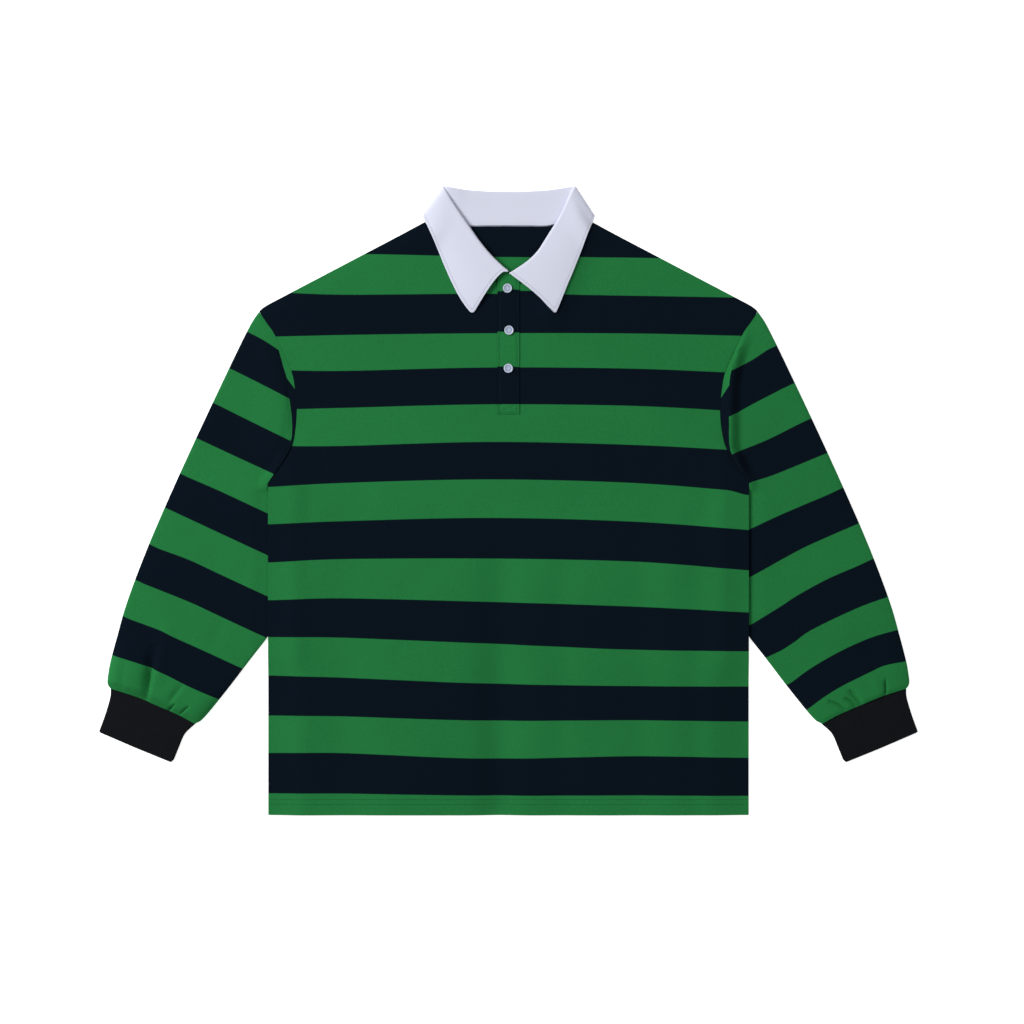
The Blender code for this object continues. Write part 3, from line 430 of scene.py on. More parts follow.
# Materials
GREEN = (0.018, 0.184, 0.048)
NAVY = (0.003, 0.007, 0.013)
WHITE = (0.71, 0.73, 0.86)
CUFF_BLACK = (0.008, 0.009, 0.011)
BUTTON_BLUE = (0.20, 0.28, 0.46)
BUTTON_PALE = (0.62, 0.66, 0.78)
THREAD_GREEN = (0.005, 0.040, 0.017)
THREAD_WHITE = (0.60, 0.62, 0.74)
STRIPE_SOFTNESS = 0.03
COLUMNS_PER_BAND = 36
COURSES_PER_BAND = 42
RIB_WIDTH = 0.0024

# Studio
FLOOR_GLOW = 0.75
FLOOR_HALF = 15.0
FLOOR_Z = -0.0006
LIGHTS = (
    # name, place, size, power
    ("key", (-3.7, 1.7, 3.3), 2.2, 265.0),
    ("fill", (2.5, -1.0, 3.5), 3.0, 30.0),
)
WORLD_STRENGTH = 0.22
SENSOR_WIDTH = 36.0
CAMERA_HEIGHT = 2.8
VIEW_WIDTH = 1.28
VIEW_CENTRE = (0.0044, -0.0141)


def smooth(low, high, value):
    """0 below low, 1 above high and an even S between them."""
    share = np.clip((np.asarray(value, float) - low) / (high - low), 0.0, 1.0)
    return share * share * (3.0 - 2.0 * share)


def between(places, value):
    """1 between the middle two of four places and 0 beyond the outer two."""
    return smooth(*places[:2], value) * (1 - smooth(*places[2:], value))


def hump(offset, half):
    """A bell, 1 high at no offset, with that half width."""
    return np.exp(-((offset / half) ** 2))


def unit(rows):
    return rows / np.linalg.norm(rows, axis=1)[:, None]


def turned_left(rows):
    return np.stack([-rows[:, 1], rows[:, 0]], axis=1)


def left_of(line):
    """The direction square to the line on its left, at each point."""
    return turned_left(unit(np.gradient(line, axis=0)))


def ring(line):
    """The line with its first point again at its end."""
    return np.vstack([line, line[:1]])


def joined(sides):
    """One closed outline of sides that meet end to end."""
    return np.vstack([side[:-1] for side in sides])


def curve_through(rows, steps):
    """A Catmull-Rom curve through the rows, with that many steps between two rows."""
    rows = np.array(rows, float)
    ends = np.vstack([2 * rows[0] - rows[1], rows, 2 * rows[-1] - rows[-2]])
    made = []
    for i in range(len(rows) - 1):
        a, b, c, d = ends[i : i + 4]
        for step in range(steps):
            t = step / steps
            made.append(b + 0.5 * t * (c - a + t * (2 * a - 5 * b + 4 * c - d + t * (3 * (b - c) + d - a))))
    made.append(rows[-1])
    return np.array(made)


def evenly(line, spacing):
    """The line with its points about that far apart, both ends kept."""
    line = np.array(line, float)
    along = np.concatenate([[0.0], np.cumsum(np.linalg.norm(np.diff(line, axis=0), axis=1))])
    places = np.linspace(0.0, along[-1], max(1, round(along[-1] / spacing)) + 1)
    return np.stack([np.interp(places, along, line[:, k]) for k in range(2)], axis=1)


def drawn(points, spacing, steps=12):
    """An even line along a smooth curve through the points."""
    return evenly(curve_through(points, steps), spacing)


def mirrored(points, side):
    """The points with x turned to the side, 1 for the wearer's left and -1 for the right."""
    return np.array(points, float) * (side, 1.0)


def on_left(points):
    """The points, each on the wearer's left."""
    return np.stack([np.abs(points[:, 0]), points[:, 1]], axis=1)


def measured(points, line):
    """For each point its distance to the line, the share of the line's length at the nearest place, and
    the side, which is positive on the left."""
    spans = np.diff(line, axis=0)
    lengths = np.linalg.norm(spans, axis=1)
    along = np.concatenate([[0.0], np.cumsum(lengths)])
    offsets = points[:, None, :] - line[None, :-1, :]
    shares = np.clip((offsets * spans).sum(axis=2) / (lengths**2), 0.0, 1.0)
    away = np.linalg.norm(offsets - shares[:, :, None] * spans, axis=2)
    best = away.argmin(axis=1)
    rows = np.arange(len(points))
    share = (along[best] + shares[rows, best] * lengths[best]) / along[-1]
    side = spans[best, 0] * offsets[rows, best, 1] - spans[best, 1] * offsets[rows, best, 0]
    return away[rows, best], share, side


def nearest(points, line):
    """For each point its distance to the line and the share of the line's length at the nearest place."""
    return measured(points, line)[:2]


def inside(points, outline):
    """True for each point within the closed outline."""
    x, y = points[:, 0], points[:, 1]
    found = np.zeros(len(points), bool)
    for (ax, ay), (bx, by) in zip(outline, np.roll(outline, -1, axis=0)):
        if ay != by:
            found ^= ((ay > y) != (by > y)) & (x < ax + (y - ay) * (bx - ax) / (by - ay))
    return found


def staggered(outline, spacing):
    """Points in rows within the outline's box, every other row moved by half a step."""
    low, high = outline.min(axis=0), outline.max(axis=0)
    rise = spacing * math.sqrt(3) / 2
    made = []
    for row in range(int((high[1] - low[1]) / rise) + 2):
        start = low[0] + (spacing / 2 if row % 2 else 0.0)
        for column in range(int((high[0] - low[0]) / spacing) + 2):
            made.append((start + column * spacing, low[1] + row * rise))
    return np.array(made)


def tree_of(points):
    """A search tree of the points in plan."""
    tree = KDTree(len(points))
    for number, point in enumerate(points):
        tree.insert((point[0], point[1], 0.0), number)
    tree.balance()
    return tree


def graded_points(outline, fixed, zones):
    """Mesh points within the outline, in zones of their own spacing, clear of the fixed points."""
    tree = tree_of(np.vstack([evenly(ring(outline), RIM_STEP), fixed]))
    made = []
    for spacing, within in zones:
        even = staggered(outline, spacing)
        even = even[inside(even, outline) & within(even)]
        made += [p for p in even if tree.find((*p, 0.0))[2] > 0.5 * spacing]
    return np.array(made).reshape(-1, 2)


def even_points(outline, spacing):
    """Mesh points within the outline, all at one spacing."""
    return graded_points(outline, outline, ((spacing, lambda plan: np.ones(len(plan), bool)),))


def triangulated(outline, inner, lines=()):
    """Points, triangles and the place of each outline point, for the flat shape within the outline.
    The triangles keep to the lines."""
    points = [tuple(p) for p in np.vstack([outline, inner.reshape(-1, 2)])]
    edges = []
    for line in lines:
        first = len(points)
        points += [tuple(p) for p in line]
        edges += [(first + i, first + i + 1) for i in range(len(line) - 1)]
    loop = list(range(len(outline)))
    flat, _, faces, sources, _, _ = delaunay_2d_cdt(points, edges, [loop], 1, 1e-7)
    place = {source: index for index, ids in enumerate(sources) for source in ids}
    return np.array([tuple(p) for p in flat]), [tuple(f) for f in faces], [place[i] for i in loop]


def with_height(plan, heights):
    return np.column_stack([plan, heights])


def ripple(points):
    """Small uneven waves of the cloth."""
    x, y = points[:, 0], points[:, 1]
    wave = np.sin(71 * x + 1.3 * np.sin(37 * y)) + 0.8 * np.sin(53 * y + 2.0 + 1.1 * np.sin(41 * x))
    return RIPPLE * (wave + 0.6 * np.sin(113 * x - 97 * y + 0.7))


def crease_height(points, row):
    """The height that a crease adds."""
    *lengths, sharpness = row
    lengths = metres(*lengths)
    outer, inner, height = lengths[6:]
    away, share, side = measured(points, curve_through(lengths[:6].reshape(3, 2), 6))
    bell = np.exp(-((away / np.where(side > 0, outer, inner)) ** sharpness))
    return height * bell * np.sin(math.pi * np.clip(share, 0.0, 1.0)) ** CREASE_TAPER


def body_lift(points):
    """How far the back panel lies above the surface, over the sleeves' tucks and the collar's fall."""
    x, y = np.abs(points[:, 0]), points[:, 1]
    tuck = smooth(*TUCK_XS, x) * between(TUCK_YS, y)
    fall = smooth(*FALL_YS, y) * (1 - smooth(*FALL_XS, x))
    return TUCK_LIFT * tuck + FALL_LIFT * fall


def body_loft(points):
    """The air between back and front panel beyond the seam gap, with the front's soft folds."""
    x, y = points[:, 0], points[:, 1]
    beside = np.where(y < SIDE_SLOPE_TOP, smooth(0.0, SIDE_SLOPE, SIDE - np.abs(x)), 1.0)
    shoulder_y = NECK_POINT_Y - SHOULDER_SLOPE * (np.abs(x) - NECK_POINT_X)
    below = smooth(0.0, SHOULDER_WIDTH, shoulder_y - y)
    loft = BODY_LOFT + LOW_LOFT * (1 - smooth(*LOW_LOFT_YS, y)) + ripple(points)
    loft += LEAF_RISE_HEIGHT * hump(nearest(points, LEAF_RISE)[0], LEAF_RISE_HALF)
    for fold_x, low, high, half, height in BODY_FOLDS:
        taper = between((low, low + FOLD_FADE, high - FOLD_FADE, high), y * 1000)
        loft += height / 1000 * taper * hump(x * 1000 - fold_x, half)
    return beside * below * loft


def back_base(points):
    """The underside of the back panel, with its folds."""
    return body_lift(points) + sum(crease_height(points, fold) for fold in BACK_FOLDS)


def front_base(points):
    """The underside of the front panel."""
    return body_lift(points) + LAYER + body_loft(points)


def hem_band(points):
    """The extra height of the turned-up hem."""
    return HEM_RISE * (1 - smooth(HEM_TOP_Y - HEM_STEP, HEM_TOP_Y + HEM_STEP, points[:, 1]))


def front_cloth(points):
    return CLOTH + hem_band(points)


def plain_cloth(points):
    return np.full(len(points), CLOTH)


def front_top(points):
    return front_base(points) + front_cloth(points)


class Sleeve:
    """One sleeve's lines and heights, in plan."""

    def __init__(self, name):
        self.creases = SLEEVE_CREASES[name]
        self.strip = np.array(SEAM_STRIP[name])
        self.armhole = curve_through(ARMHOLE, 6)
        self.seam = curve_through(CUFF_SEAM, 6)
        self.folds = [curve_through(line, 3) for line in (SLEEVE_OUTER, SLEEVE_INNER)]
        self.rise = STRIP_RISE[name]
        self.drop = STRIP_DROP[name]
        self.swell = SWELL[name]
        self.blouse = BLOUSE[name]
        self.blouse_places = BLOUSE_PLACES[name]

    def crease_lines(self, outline):
        """Mesh lines along the bottom and up the steep side of each sharp crease, within the outline."""
        made = []
        for row in self.creases:
            if row[-1] >= SOFT_CREASE:
                continue
            lengths = metres(*row[:-1])
            line = drawn(lengths[:6].reshape(3, 2), CREASE_SPACING, 6)
            outer, inner = lengths[6:8]
            steep = outer if outer < inner else -inner
            for offset in (0.0, steep, 2 * steep):
                moved = line + offset * left_of(line)
                clear = inside(moved, outline) & (nearest(moved, ring(outline))[0] > FINE_SPACING)
                if clear.sum() > 1:
                    made.append(moved[clear])
        return made

    def strip_width(self, share):
        return np.interp(share, self.strip[:, 0], self.strip[:, 1])

    def back_level(self, points):
        """The level of the back layer: at the armhole it meets the back panel."""
        away, share = nearest(on_left(points), self.armhole)
        number = share * (len(self.armhole) - 1)
        places = [np.interp(number, np.arange(len(self.armhole)), column) for column in self.armhole.T]
        return body_lift(np.stack(places, axis=1)) * (1 - smooth(0.0, SEAM_FALL_WIDTH, away))

    def back_base(self, points):
        """The underside of the sleeve's back layer, with its folds."""
        plan = on_left(points)
        return self.back_level(points) + sum(crease_height(plan, fold) for fold in SLEEVE_BACK_FOLDS)

    def front_base(self, points):
        """The underside of the sleeve's front layer."""
        plan = on_left(points)
        away, share = nearest(plan, self.armhole)
        width = np.maximum(self.strip_width(share), LEAST_STRIP)
        strip = BODY_LOFT * smooth(0.0, STRIP_START, share)
        ramp = np.clip(away / np.maximum(width, STRIP_RAMP), 0.0, 1.0)
        strip = (strip + self.rise * between(STRIP_FULL, share) * ramp) * smooth(0.0, STRIP_GROWTH, share)
        on_strip = 1 - smooth(*self.drop, away - width)
        blouse = self.blouse * between(self.blouse_places, nearest(plan, self.seam)[0])
        in_from_fold = np.min([nearest(plan, fold)[0] for fold in self.folds], axis=0)
        crown = np.sqrt(1 - (1 - np.clip(in_from_fold / BLOUSE_EDGE, 0.0, 1.0)) ** 2)
        loft = SLEEVE_LOFT + (SLEEVE_PUFF + blouse) * crown + ripple(points)
        top, near, far, height = self.swell
        loft += height * hump(away - top, np.where(away < top, near, far)) * between(SWELL_SHARES, share)
        loft += sum(crease_height(plan, crease) for crease in self.creases)
        low = LEAST_LOFT * np.exp(np.minimum(loft / LEAST_LOFT - 1, 0.0))
        loft = np.where(loft > LEAST_LOFT, loft, low)
        further_in = UNDER_BODY_SLOPE * np.maximum(plan[:, 1] - UNDER_BODY_Y, 0)
        loft = loft * smooth(*UNDER_BODY_XS, plan[:, 0] + further_in)
        return self.back_level(points) + LAYER + strip * on_strip + loft * (1 - on_strip)


def collar_rows():
    """The collar's rows from the wearer's right front end, round the back, to the left one, with the roll's
    radius in metres and its turn in degrees."""
    sides = []
    for rows in (COLLAR_RIGHT, COLLAR_LEFT):
        roll = np.array(COLLAR_ROLL[: len(rows)]) * (0.001, 1.0)
        sides.append(np.hstack([metres(*rows), roll]))
    return np.vstack([sides[0], sides[1][::-1]])


def neck_line(rows):
    """The panels' neck edge: the collar's seam moved a little off the collar."""
    seam, roll = rows[:, 0:2], rows[:, 2:4]
    return seam + unit(seam - roll) * NECK_GAP


def body_outline(neck):
    """The outline of a panel, counter-clockwise from the wearer's right end of the hem."""
    end = curve_through(SHOULDER_END, 4)
    shoulder = np.vstack([evenly((SHOULDER_START, end[0]), EDGE_SPACING)[:-1], end])
    hem = evenly(((-SIDE, HEM_Y), (SIDE, HEM_Y)), STRAIGHT_SPACING)
    side = evenly(((SIDE, HEM_Y), (SIDE, UNDERARM_Y)), STRAIGHT_SPACING)
    armhole = drawn(ARMHOLE, EDGE_SPACING)[::-1]
    left = np.vstack([side[:-1], armhole[:-1], shoulder[::-1]])
    return np.vstack([hem[:-1], left, neck, mirrored(left[::-1], -1)[:-1]])


def chart_value(curves, x, y, first):
    """The stripe number at each place. It passes a whole number, counted from the first, at each edge."""
    heights = np.array([np.interp(x, curve[:, 0], curve[:, 1]) for curve in curves])
    value = first + np.minimum((heights[0] - y) / BAND, 0.0)
    for high, low in zip(heights, heights[1:]):
        value += np.clip((high - y) / (high - low), 0.0, 1.0)
    value += np.clip((heights[-1] - y) / BAND, 0.0, PAST_EDGE)
    return np.maximum(value, first - PAST_EDGE)


def body_chart(plan, rise=0.0, neck_rise=NECK_RISE):
    """The cloth map of the body: the stripe number and the place along the stripe, in bands."""
    x, y = plan[:, 0] * 1000, plan[:, 1] * 1000 - rise
    y = y + SEAM_DIP * smooth(*SEAM_DIP_XS, x) * between(SEAM_DIP_YS, y)
    y = y - neck_rise * between(NECK_RISE_XS, x) * smooth(*NECK_RISE_YS, y)
    curves = [curve_through(np.column_stack([BODY_STATIONS, row]), 8) for row in BODY_STRIPES]
    return np.column_stack([chart_value(curves, x, y, 1), x / BAND])


def back_chart(plan):
    return body_chart(plan, neck_rise=0.0)


def placket_chart(plan):
    """The body's map with the stripes' step at the placket."""
    share = (plan[:, 0] - PLACKET_X + PLACKET_HALF) / (2 * PLACKET_HALF)
    rise = np.interp(share, (0.0, 1.0), PLACKET_STRIPE_RISES)
    return body_chart(plan, rise * np.interp(plan[:, 1] * 1000, PLACKET_RISE_YS, (0.0, 1.0)))


def sleeve_curves(name):
    """The sleeve's edges, made longer at both ends along the common slope."""
    made = []
    for points in SLEEVE_STRIPES[name]:
        curve = curve_through(points, 8)
        ends = []
        for far_x, (x, y) in zip(SLEEVE_STRIPE_XS, (curve[0], curve[-1])):
            ends.append((far_x, y + (far_x - x) * SLEEVE_STRIPE_SLOPE))
        made.append(np.vstack([ends[0], curve, ends[1]]))
    return made


def sleeve_chart(name, side, plan, on_strip):
    """The cloth map of a sleeve, with a mask for its strip beside the body."""
    x, y = plan[:, 0] * side * 1000, plan[:, 1] * 1000
    split_x, split_y, slope = STRIP_SPLIT[name]
    strip = np.clip(2 + (split_y + slope * (x - split_x) - y) / BAND, *STRIP_NUMBERS)
    along = (x + y * SLEEVE_STRIPE_SLOPE) / math.hypot(1.0, SLEEVE_STRIPE_SLOPE) / BAND
    return np.column_stack([np.where(on_strip, strip, chart_value(sleeve_curves(name), x, y, 2)), along])


def placed(name, data, place=(0.0, 0.0, 0.0)):
    """A new object in the scene."""
    made = bpy.data.objects.new(name, data)
    made.location = place
    bpy.context.scene.collection.objects.link(made)
    return made


def object_from(name, points, faces, look, closed=True):
    """A mesh object from points and faces, shaded smooth away from its sharp edges."""
    mesh = bpy.data.meshes.new(name)
    mesh.from_pydata([tuple(p) for p in points], [], faces)
    if closed:
        grown = bmesh.new()
        grown.from_mesh(mesh)
        bmesh.ops.recalc_face_normals(grown, faces=grown.faces)
        grown.to_mesh(mesh)
        grown.free()
    mesh.shade_smooth()
    mesh.set_sharp_from_angle(angle=math.radians(SHARP_ANGLE))
    mesh.materials.append(look)
    return placed(name, mesh)


def read(rows, key, size, kind=float):
    """One property of all rows of a mesh, as an array."""
    values = np.empty(len(rows) * size, kind)
    rows.foreach_get(key, values)
    return values.reshape(-1, size) if size > 1 else values


def corner_vertices(mesh):
    return read(mesh.loops, "vertex_index", 1, np.int32)


def set_map(mesh, name, values):
    mesh.uv_layers.new(name=name).data.foreach_set("uv", np.asarray(values, np.float32).ravel())


def map_vertices(piece, name, chart):
    """Gives the piece a map that holds what the chart says of each vertex's place."""
    mesh = piece.data
    set_map(mesh, name, chart(read(mesh.vertices, "co", 3))[corner_vertices(mesh)])


def soften_edges(piece):
    """Rounds the cut edges of the cloth."""
    bevel = piece.modifiers.new("soft_edge", "BEVEL")
    bevel.width = EDGE_SOFTNESS
    bevel.segments = 2
    bevel.limit_method = "ANGLE"
    bevel.angle_limit = math.radians(SHARP_ANGLE)
    bevel.harden_normals = False


def sheet(name, outline, inner, base, thickness, look, chart=body_chart):
    """A wall of cloth within the outline, its underside at the base heights."""
    plan, faces, loop = triangulated(outline, inner)
    low = base(plan)
    count = len(plan)
    points = np.vstack([with_height(plan, low), with_height(plan, low + thickness(plan))])
    solid = [tuple(reversed(f)) for f in faces]
    solid += [tuple(i + count for i in f) for f in faces]
    solid += [(a, b, b + count, a + count) for a, b in zip(loop, loop[1:] + loop[:1])]
    made = object_from(name, points, solid, look)
    soften_edges(made)
    map_vertices(made, "cloth", chart)
    return made


def flat_tube(name, sides, inner, hollow_inner, back, front, thickness, look, lines=()):
    """A flattened tube of cloth. Its sides are an open end, a fold, an open end and a fold, in turn."""
    outline = joined(sides)
    total = len(outline)
    starts = [int(start) for start in np.cumsum([0] + [len(line) - 1 for line in sides])]
    corners = starts[:4]
    folded = np.zeros(total, bool)
    folded[starts[1] : starts[2] + 1] = True
    folded[starts[3] :] = True
    folded[0] = True
    after = np.roll(outline, -1, axis=0)
    turning = np.sign((outline[:, 0] * after[:, 1] - after[:, 0] * outline[:, 1]).sum())
    inward = turned_left(unit(after - np.roll(outline, 1, axis=0))) * turning
    roundness = folded.astype(float)
    for corner, other in zip(corners, (1, -1, 1, -1)):
        along = outline[(corner + other) % total] - outline[corner]
        fold = outline[(corner - other) % total] - outline[corner]
        convex = other * turning * (along[0] * fold[1] - along[1] * fold[0]) > 0
        moved = along if convex else np.array((fold[1], -fold[0])) * other * turning
        inward[corner] = moved / np.linalg.norm(moved)
        if not convex:
            roundness[corner] = CORNER_ROUNDNESS

    def inset(extra, rounding):
        return outline + inward * np.where(folded, extra + rounding * roundness, 0.0)[:, None]

    skin, hollow = inset(0.0, FOLD_ROUNDING), inset(thickness, FOLD_ROUNDING)
    skin_plan, skin_faces, skin_loop = triangulated(skin, inner(skin), lines)
    hollow_plan, hollow_faces, hollow_loop = triangulated(hollow, hollow_inner(hollow), lines)
    layers = [
        with_height(skin_plan, front(skin_plan) + thickness),
        with_height(skin_plan, back(skin_plan)),
        with_height(hollow_plan, front(hollow_plan)),
        with_height(hollow_plan, back(hollow_plan) + thickness),
    ]
    rings = len(FOLD_ANGLES)
    for extra, low_gap, high_gap in ((0.0, 0.0, thickness), (thickness, thickness, 0.0)):
        edge = inset(extra, FOLD_ROUNDING)
        top, bottom = front(edge) + high_gap, back(edge) + low_gap
        for angle in np.radians(FOLD_ANGLES):
            height = (top + bottom) / 2 + (top - bottom) / 2 * math.sin(angle)
            layers.append(with_height(inset(extra, FOLD_ROUNDING * (1 - math.cos(angle))), height))
    base = [int(count) for count in np.cumsum([0] + [len(layer) for layer in layers])]
    faces = []
    walls = ((skin_faces, 1), (skin_faces, -1), (hollow_faces, -1), (hollow_faces, 1))
    for first, (flat, step) in zip(base, walls):
        faces += [tuple(i + first for i in f[::step]) for f in flat]
    outer = [0, *range(4, 4 + rings), 1]
    lining = [2, *range(4 + rings, 4 + 2 * rings), 3]
    loops = [skin_loop, skin_loop, hollow_loop, hollow_loop] + [range(total)] * (2 * rings)

    def level(which, i):
        return base[which] + loops[which][i % total]

    for i in range(total):
        in_fold = starts[1] <= i < starts[2] or i >= starts[3]
        pairs = [*zip(outer, outer[1:]), *zip(lining, lining[1:])] if in_fold else ((0, 2), (1, 3))
        for upper, lower in pairs:
            faces.append((level(upper, i), level(upper, i + 1), level(lower, i + 1), level(lower, i)))
    for corner in corners:
        for steps in zip(outer, outer[1:], lining[1:], lining):
            faces.append(tuple(level(which, corner) for which in steps))
    return object_from(name, np.vstack(layers), faces, look)


def panel(name, neck, base, thickness, look, chart):
    """The front or the back of the body, its mesh finer over the hem and beside the side edges."""

    def fine(plan):
        x, y = np.abs(plan[:, 0]), plan[:, 1]
        return (y < HEM_Y + FINE_HEM) | ((x > FINE_SIDE_X) & (y < FINE_SIDE_Y))

    outline = body_outline(neck)
    inner = graded_points(outline, outline, ((BODY_SPACING, lambda plan: ~fine(plan)), (FINE_SPACING, fine)))
    return sheet(name, outline, inner, base, thickness, look, chart)


def front_panel(look):
    rows = curve_through(collar_rows(), NECK_STEPS)
    count = NECK_STEPS * (COLLAR_FRONT_ROWS - 2) + 1
    right, left = (evenly(neck_line(part), EDGE_SPACING) for part in (rows[:count], rows[-count:]))
    low, high = PLACKET_X - SLIT_HALF, PLACKET_X + SLIT_HALF
    down = evenly(((high, SLIT_TOP_Y), (high, SLIT_LOW_Y)), EDGE_SPACING)
    up = evenly(((low, SLIT_LOW_Y), (low, SLIT_TOP_Y)), EDGE_SPACING)
    return panel("front", np.vstack([left, down, up, right]), front_base, front_cloth, look, body_chart)


def back_panel(look):
    rows = curve_through(collar_rows(), NECK_STEPS)
    first = NECK_STEPS * (COLLAR_FRONT_ROWS + 2)
    neck = evenly(neck_line(rows[first : len(rows) - first])[::-1], EDGE_SPACING)
    return panel("back", neck, back_base, plain_cloth, look, back_chart)


def sleeve(name, side, look):
    lines = Sleeve(name)
    armhole = drawn(ARMHOLE, EDGE_SPACING)
    outward = left_of(armhole)
    start = armhole + outward * SEAM_GAP
    start[0] = SLEEVE_OUTER[0]
    start[-1] = SLEEVE_INNER[0]
    seam = drawn(CUFF_SEAM, FINE_SPACING, 6)
    outer_fold = drawn(SLEEVE_OUTER, EDGE_SPACING)[::-1]
    plan_sides = (start, drawn(SLEEVE_INNER, FINE_SPACING), seam[::-1], outer_fold)
    sides = [mirrored(line, side) for line in plan_sides]
    width = lines.strip_width(nearest(armhole, lines.armhole)[1])
    creased = (width > CREASED_WIDTH) & (armhole[:, 1] > CREASED_Y)
    held = [(armhole + outward * width[:, None])[creased], *lines.crease_lines(joined(plan_sides))]
    held = [mirrored(line, side) for line in held]
    fixed = np.vstack(held)

    def near_cuff(plan):
        return nearest(mirrored(plan, side), lines.seam)[0] < NEAR_CUFF

    def near_edges(plan):
        plan = mirrored(plan, side)
        to_armhole, to_cuff = (nearest(plan, line)[0] for line in (lines.armhole, lines.seam))
        return ((to_armhole < NEAR_ARMHOLE) | (to_cuff < ROUND_CUFF)) & (to_cuff >= NEAR_CUFF)

    zones = (
        (SLEEVE_SPACING, lambda plan: ~near_edges(plan) & ~near_cuff(plan)),
        (FINE_SPACING, near_edges),
        (CREASE_SPACING, near_cuff),
    )
    # Inside the cuff's creases the lining needs as fine a mesh as the skin, or it shows through.
    hollow_zones = ((HOLLOW_SPACING, lambda plan: ~near_cuff(plan)), (CREASE_SPACING, near_cuff))
    made = flat_tube(
        "sleeve_" + name + "_cloth",
        sides,
        lambda outline: graded_points(outline, fixed, zones),
        lambda outline: graded_points(outline, fixed, hollow_zones),
        lines.back_base,
        lines.front_base,
        CLOTH,
        look,
        held,
    )
    mesh = made.data
    vertex = corner_vertices(mesh)
    face = np.repeat(np.arange(len(mesh.polygons)), read(mesh.polygons, "loop_total", 1, np.int32))
    centres = read(mesh.polygons, "center", 3)
    plan = centres[:, :2]
    away, share = nearest(mirrored(plan, side), lines.armhole)
    level = (lines.back_base(plan) + lines.front_base(plan) + CLOTH) / 2
    strip = (away < lines.strip_width(share)) & (centres[:, 2] > level)
    set_map(mesh, "cloth", sleeve_chart(name, side, read(mesh.vertices, "co", 3)[vertex], strip[face]))
    return made


def cuff(name, side, look):
    seam = drawn(CUFF_SEAM, FINE_SPACING, 6) + CUFF_SEAM_GAP
    outer_edge = drawn(CUFF_OUTER, FINE_SPACING)
    opening = evenly(CUFF_OPENING, FINE_SPACING)
    inner_edge = drawn(CUFF_INNER, FINE_SPACING)
    outer_edge[0], inner_edge[-1] = seam[0], seam[-1]
    opening[0], opening[-1] = outer_edge[-1], inner_edge[0]
    sides = [mirrored(line, side) for line in (seam[::-1], outer_edge, opening, inner_edge)]
    rim = ring(joined(sides))

    def front(points):
        return CUFF_CLOTH + GAP + CUFF_LOFT * smooth(0.0, CUFF_SLOPE, nearest(points, rim)[0])

    def back(points):
        return np.zeros(len(points))

    def inner(inset):
        return even_points(inset, FINE_SPACING)

    def chart(places):
        x, y = places[:, 0] * side, places[:, 1]
        long, short = ACROSS_RIBS
        return np.column_stack([x * long + y * short, x * short - y * long])

    made = flat_tube("cuff_" + name + "_rib", sides, inner, inner, back, front, CUFF_CLOTH, look)
    map_vertices(made, "cloth", chart)
    return made


def box_stitches():
    """The box at the foot of the placket and the cross within it, in plan."""
    low, high = BOX_LOW_Y, BOX_TOP_Y
    left, right = (PLACKET_X + x for x in PLACKET_STITCH_XS)
    box = ((left, low), (right, low), (right, high), (left, high), (left, low))
    return (box, ((left, low), (right, high)), ((left, high), (right, low)))


def placket_base(points):
    return front_base(points) + LAYER


def placket_thickness(points):
    """The cloth of the placket: a raised right edge, a thin left one and a groove along each stitch line."""
    x = points[:, 0] - PLACKET_X
    rim = 1 - smooth(*PLACKET_RIM_XS, PLACKET_HALF + x)
    thin = smooth(PLACKET_THIN_X, PLACKET_HALF, x)
    grooves = [depth * hump(x - line, GROOVE_HALF) for line, depth in zip(PLACKET_STITCH_XS, PLACKET_GROOVES)]
    for line in box_stitches():
        grooves.append(BOX_GROOVE * hump(nearest(points, np.array(line))[0], GROOVE_HALF))
    return CLOTH + PLACKET_RIM * rim - PLACKET_THIN * thin - np.max(grooves, axis=0)


def placket_surface(points):
    return placket_base(points) + placket_thickness(points)


def placket(look):
    left, right = PLACKET_X - PLACKET_HALF, PLACKET_X + PLACKET_HALF
    turns = np.linspace(math.pi / 2, math.pi, 12)
    corner = np.stack([np.cos(turns), np.sin(turns)], axis=1) * PLACKET_CORNER
    corner += (left + PLACKET_CORNER, PLACKET_TOP_Y - PLACKET_CORNER)
    up = evenly(((right, PLACKET_LOW_Y), (right, PLACKET_RIGHT_TOP)), PLACKET_SPACING)
    down = evenly((corner[-1], (left, PLACKET_LOW_Y)), PLACKET_SPACING)
    low = evenly(((left, PLACKET_LOW_Y), (right, PLACKET_LOW_Y)), PLACKET_SPACING)
    outline = np.vstack([up, corner, down[1:], low[1:-1]])
    inner = even_points(outline, PLACKET_SPACING)
    return sheet("placket_top", outline, inner, placket_base, placket_thickness, look, placket_chart)


def placket_under(look):
    left, right = PLACKET_X - SLIT_HALF + GAP, PLACKET_X + SLIT_HALF - GAP
    low = SLIT_LOW_Y + GAP
    corners = ((right, low), (right, UNDER_TOP_Y), (left, UNDER_TOP_Y), (left, low), (right, low))
    outline = joined([evenly(pair, EDGE_SPACING) for pair in zip(corners, corners[1:])])
    return sheet("placket_facing", outline, even_points(outline, EDGE_SPACING), front_base, plain_cloth, look)


def button_seat(place):
    return placket_surface(np.array([place]))[0] + BUTTON_GAP


def button_chart(places):
    return np.column_stack([np.linalg.norm(places[:, :2], axis=1) / BUTTON_RADIUS, places[:, 2] * 100])


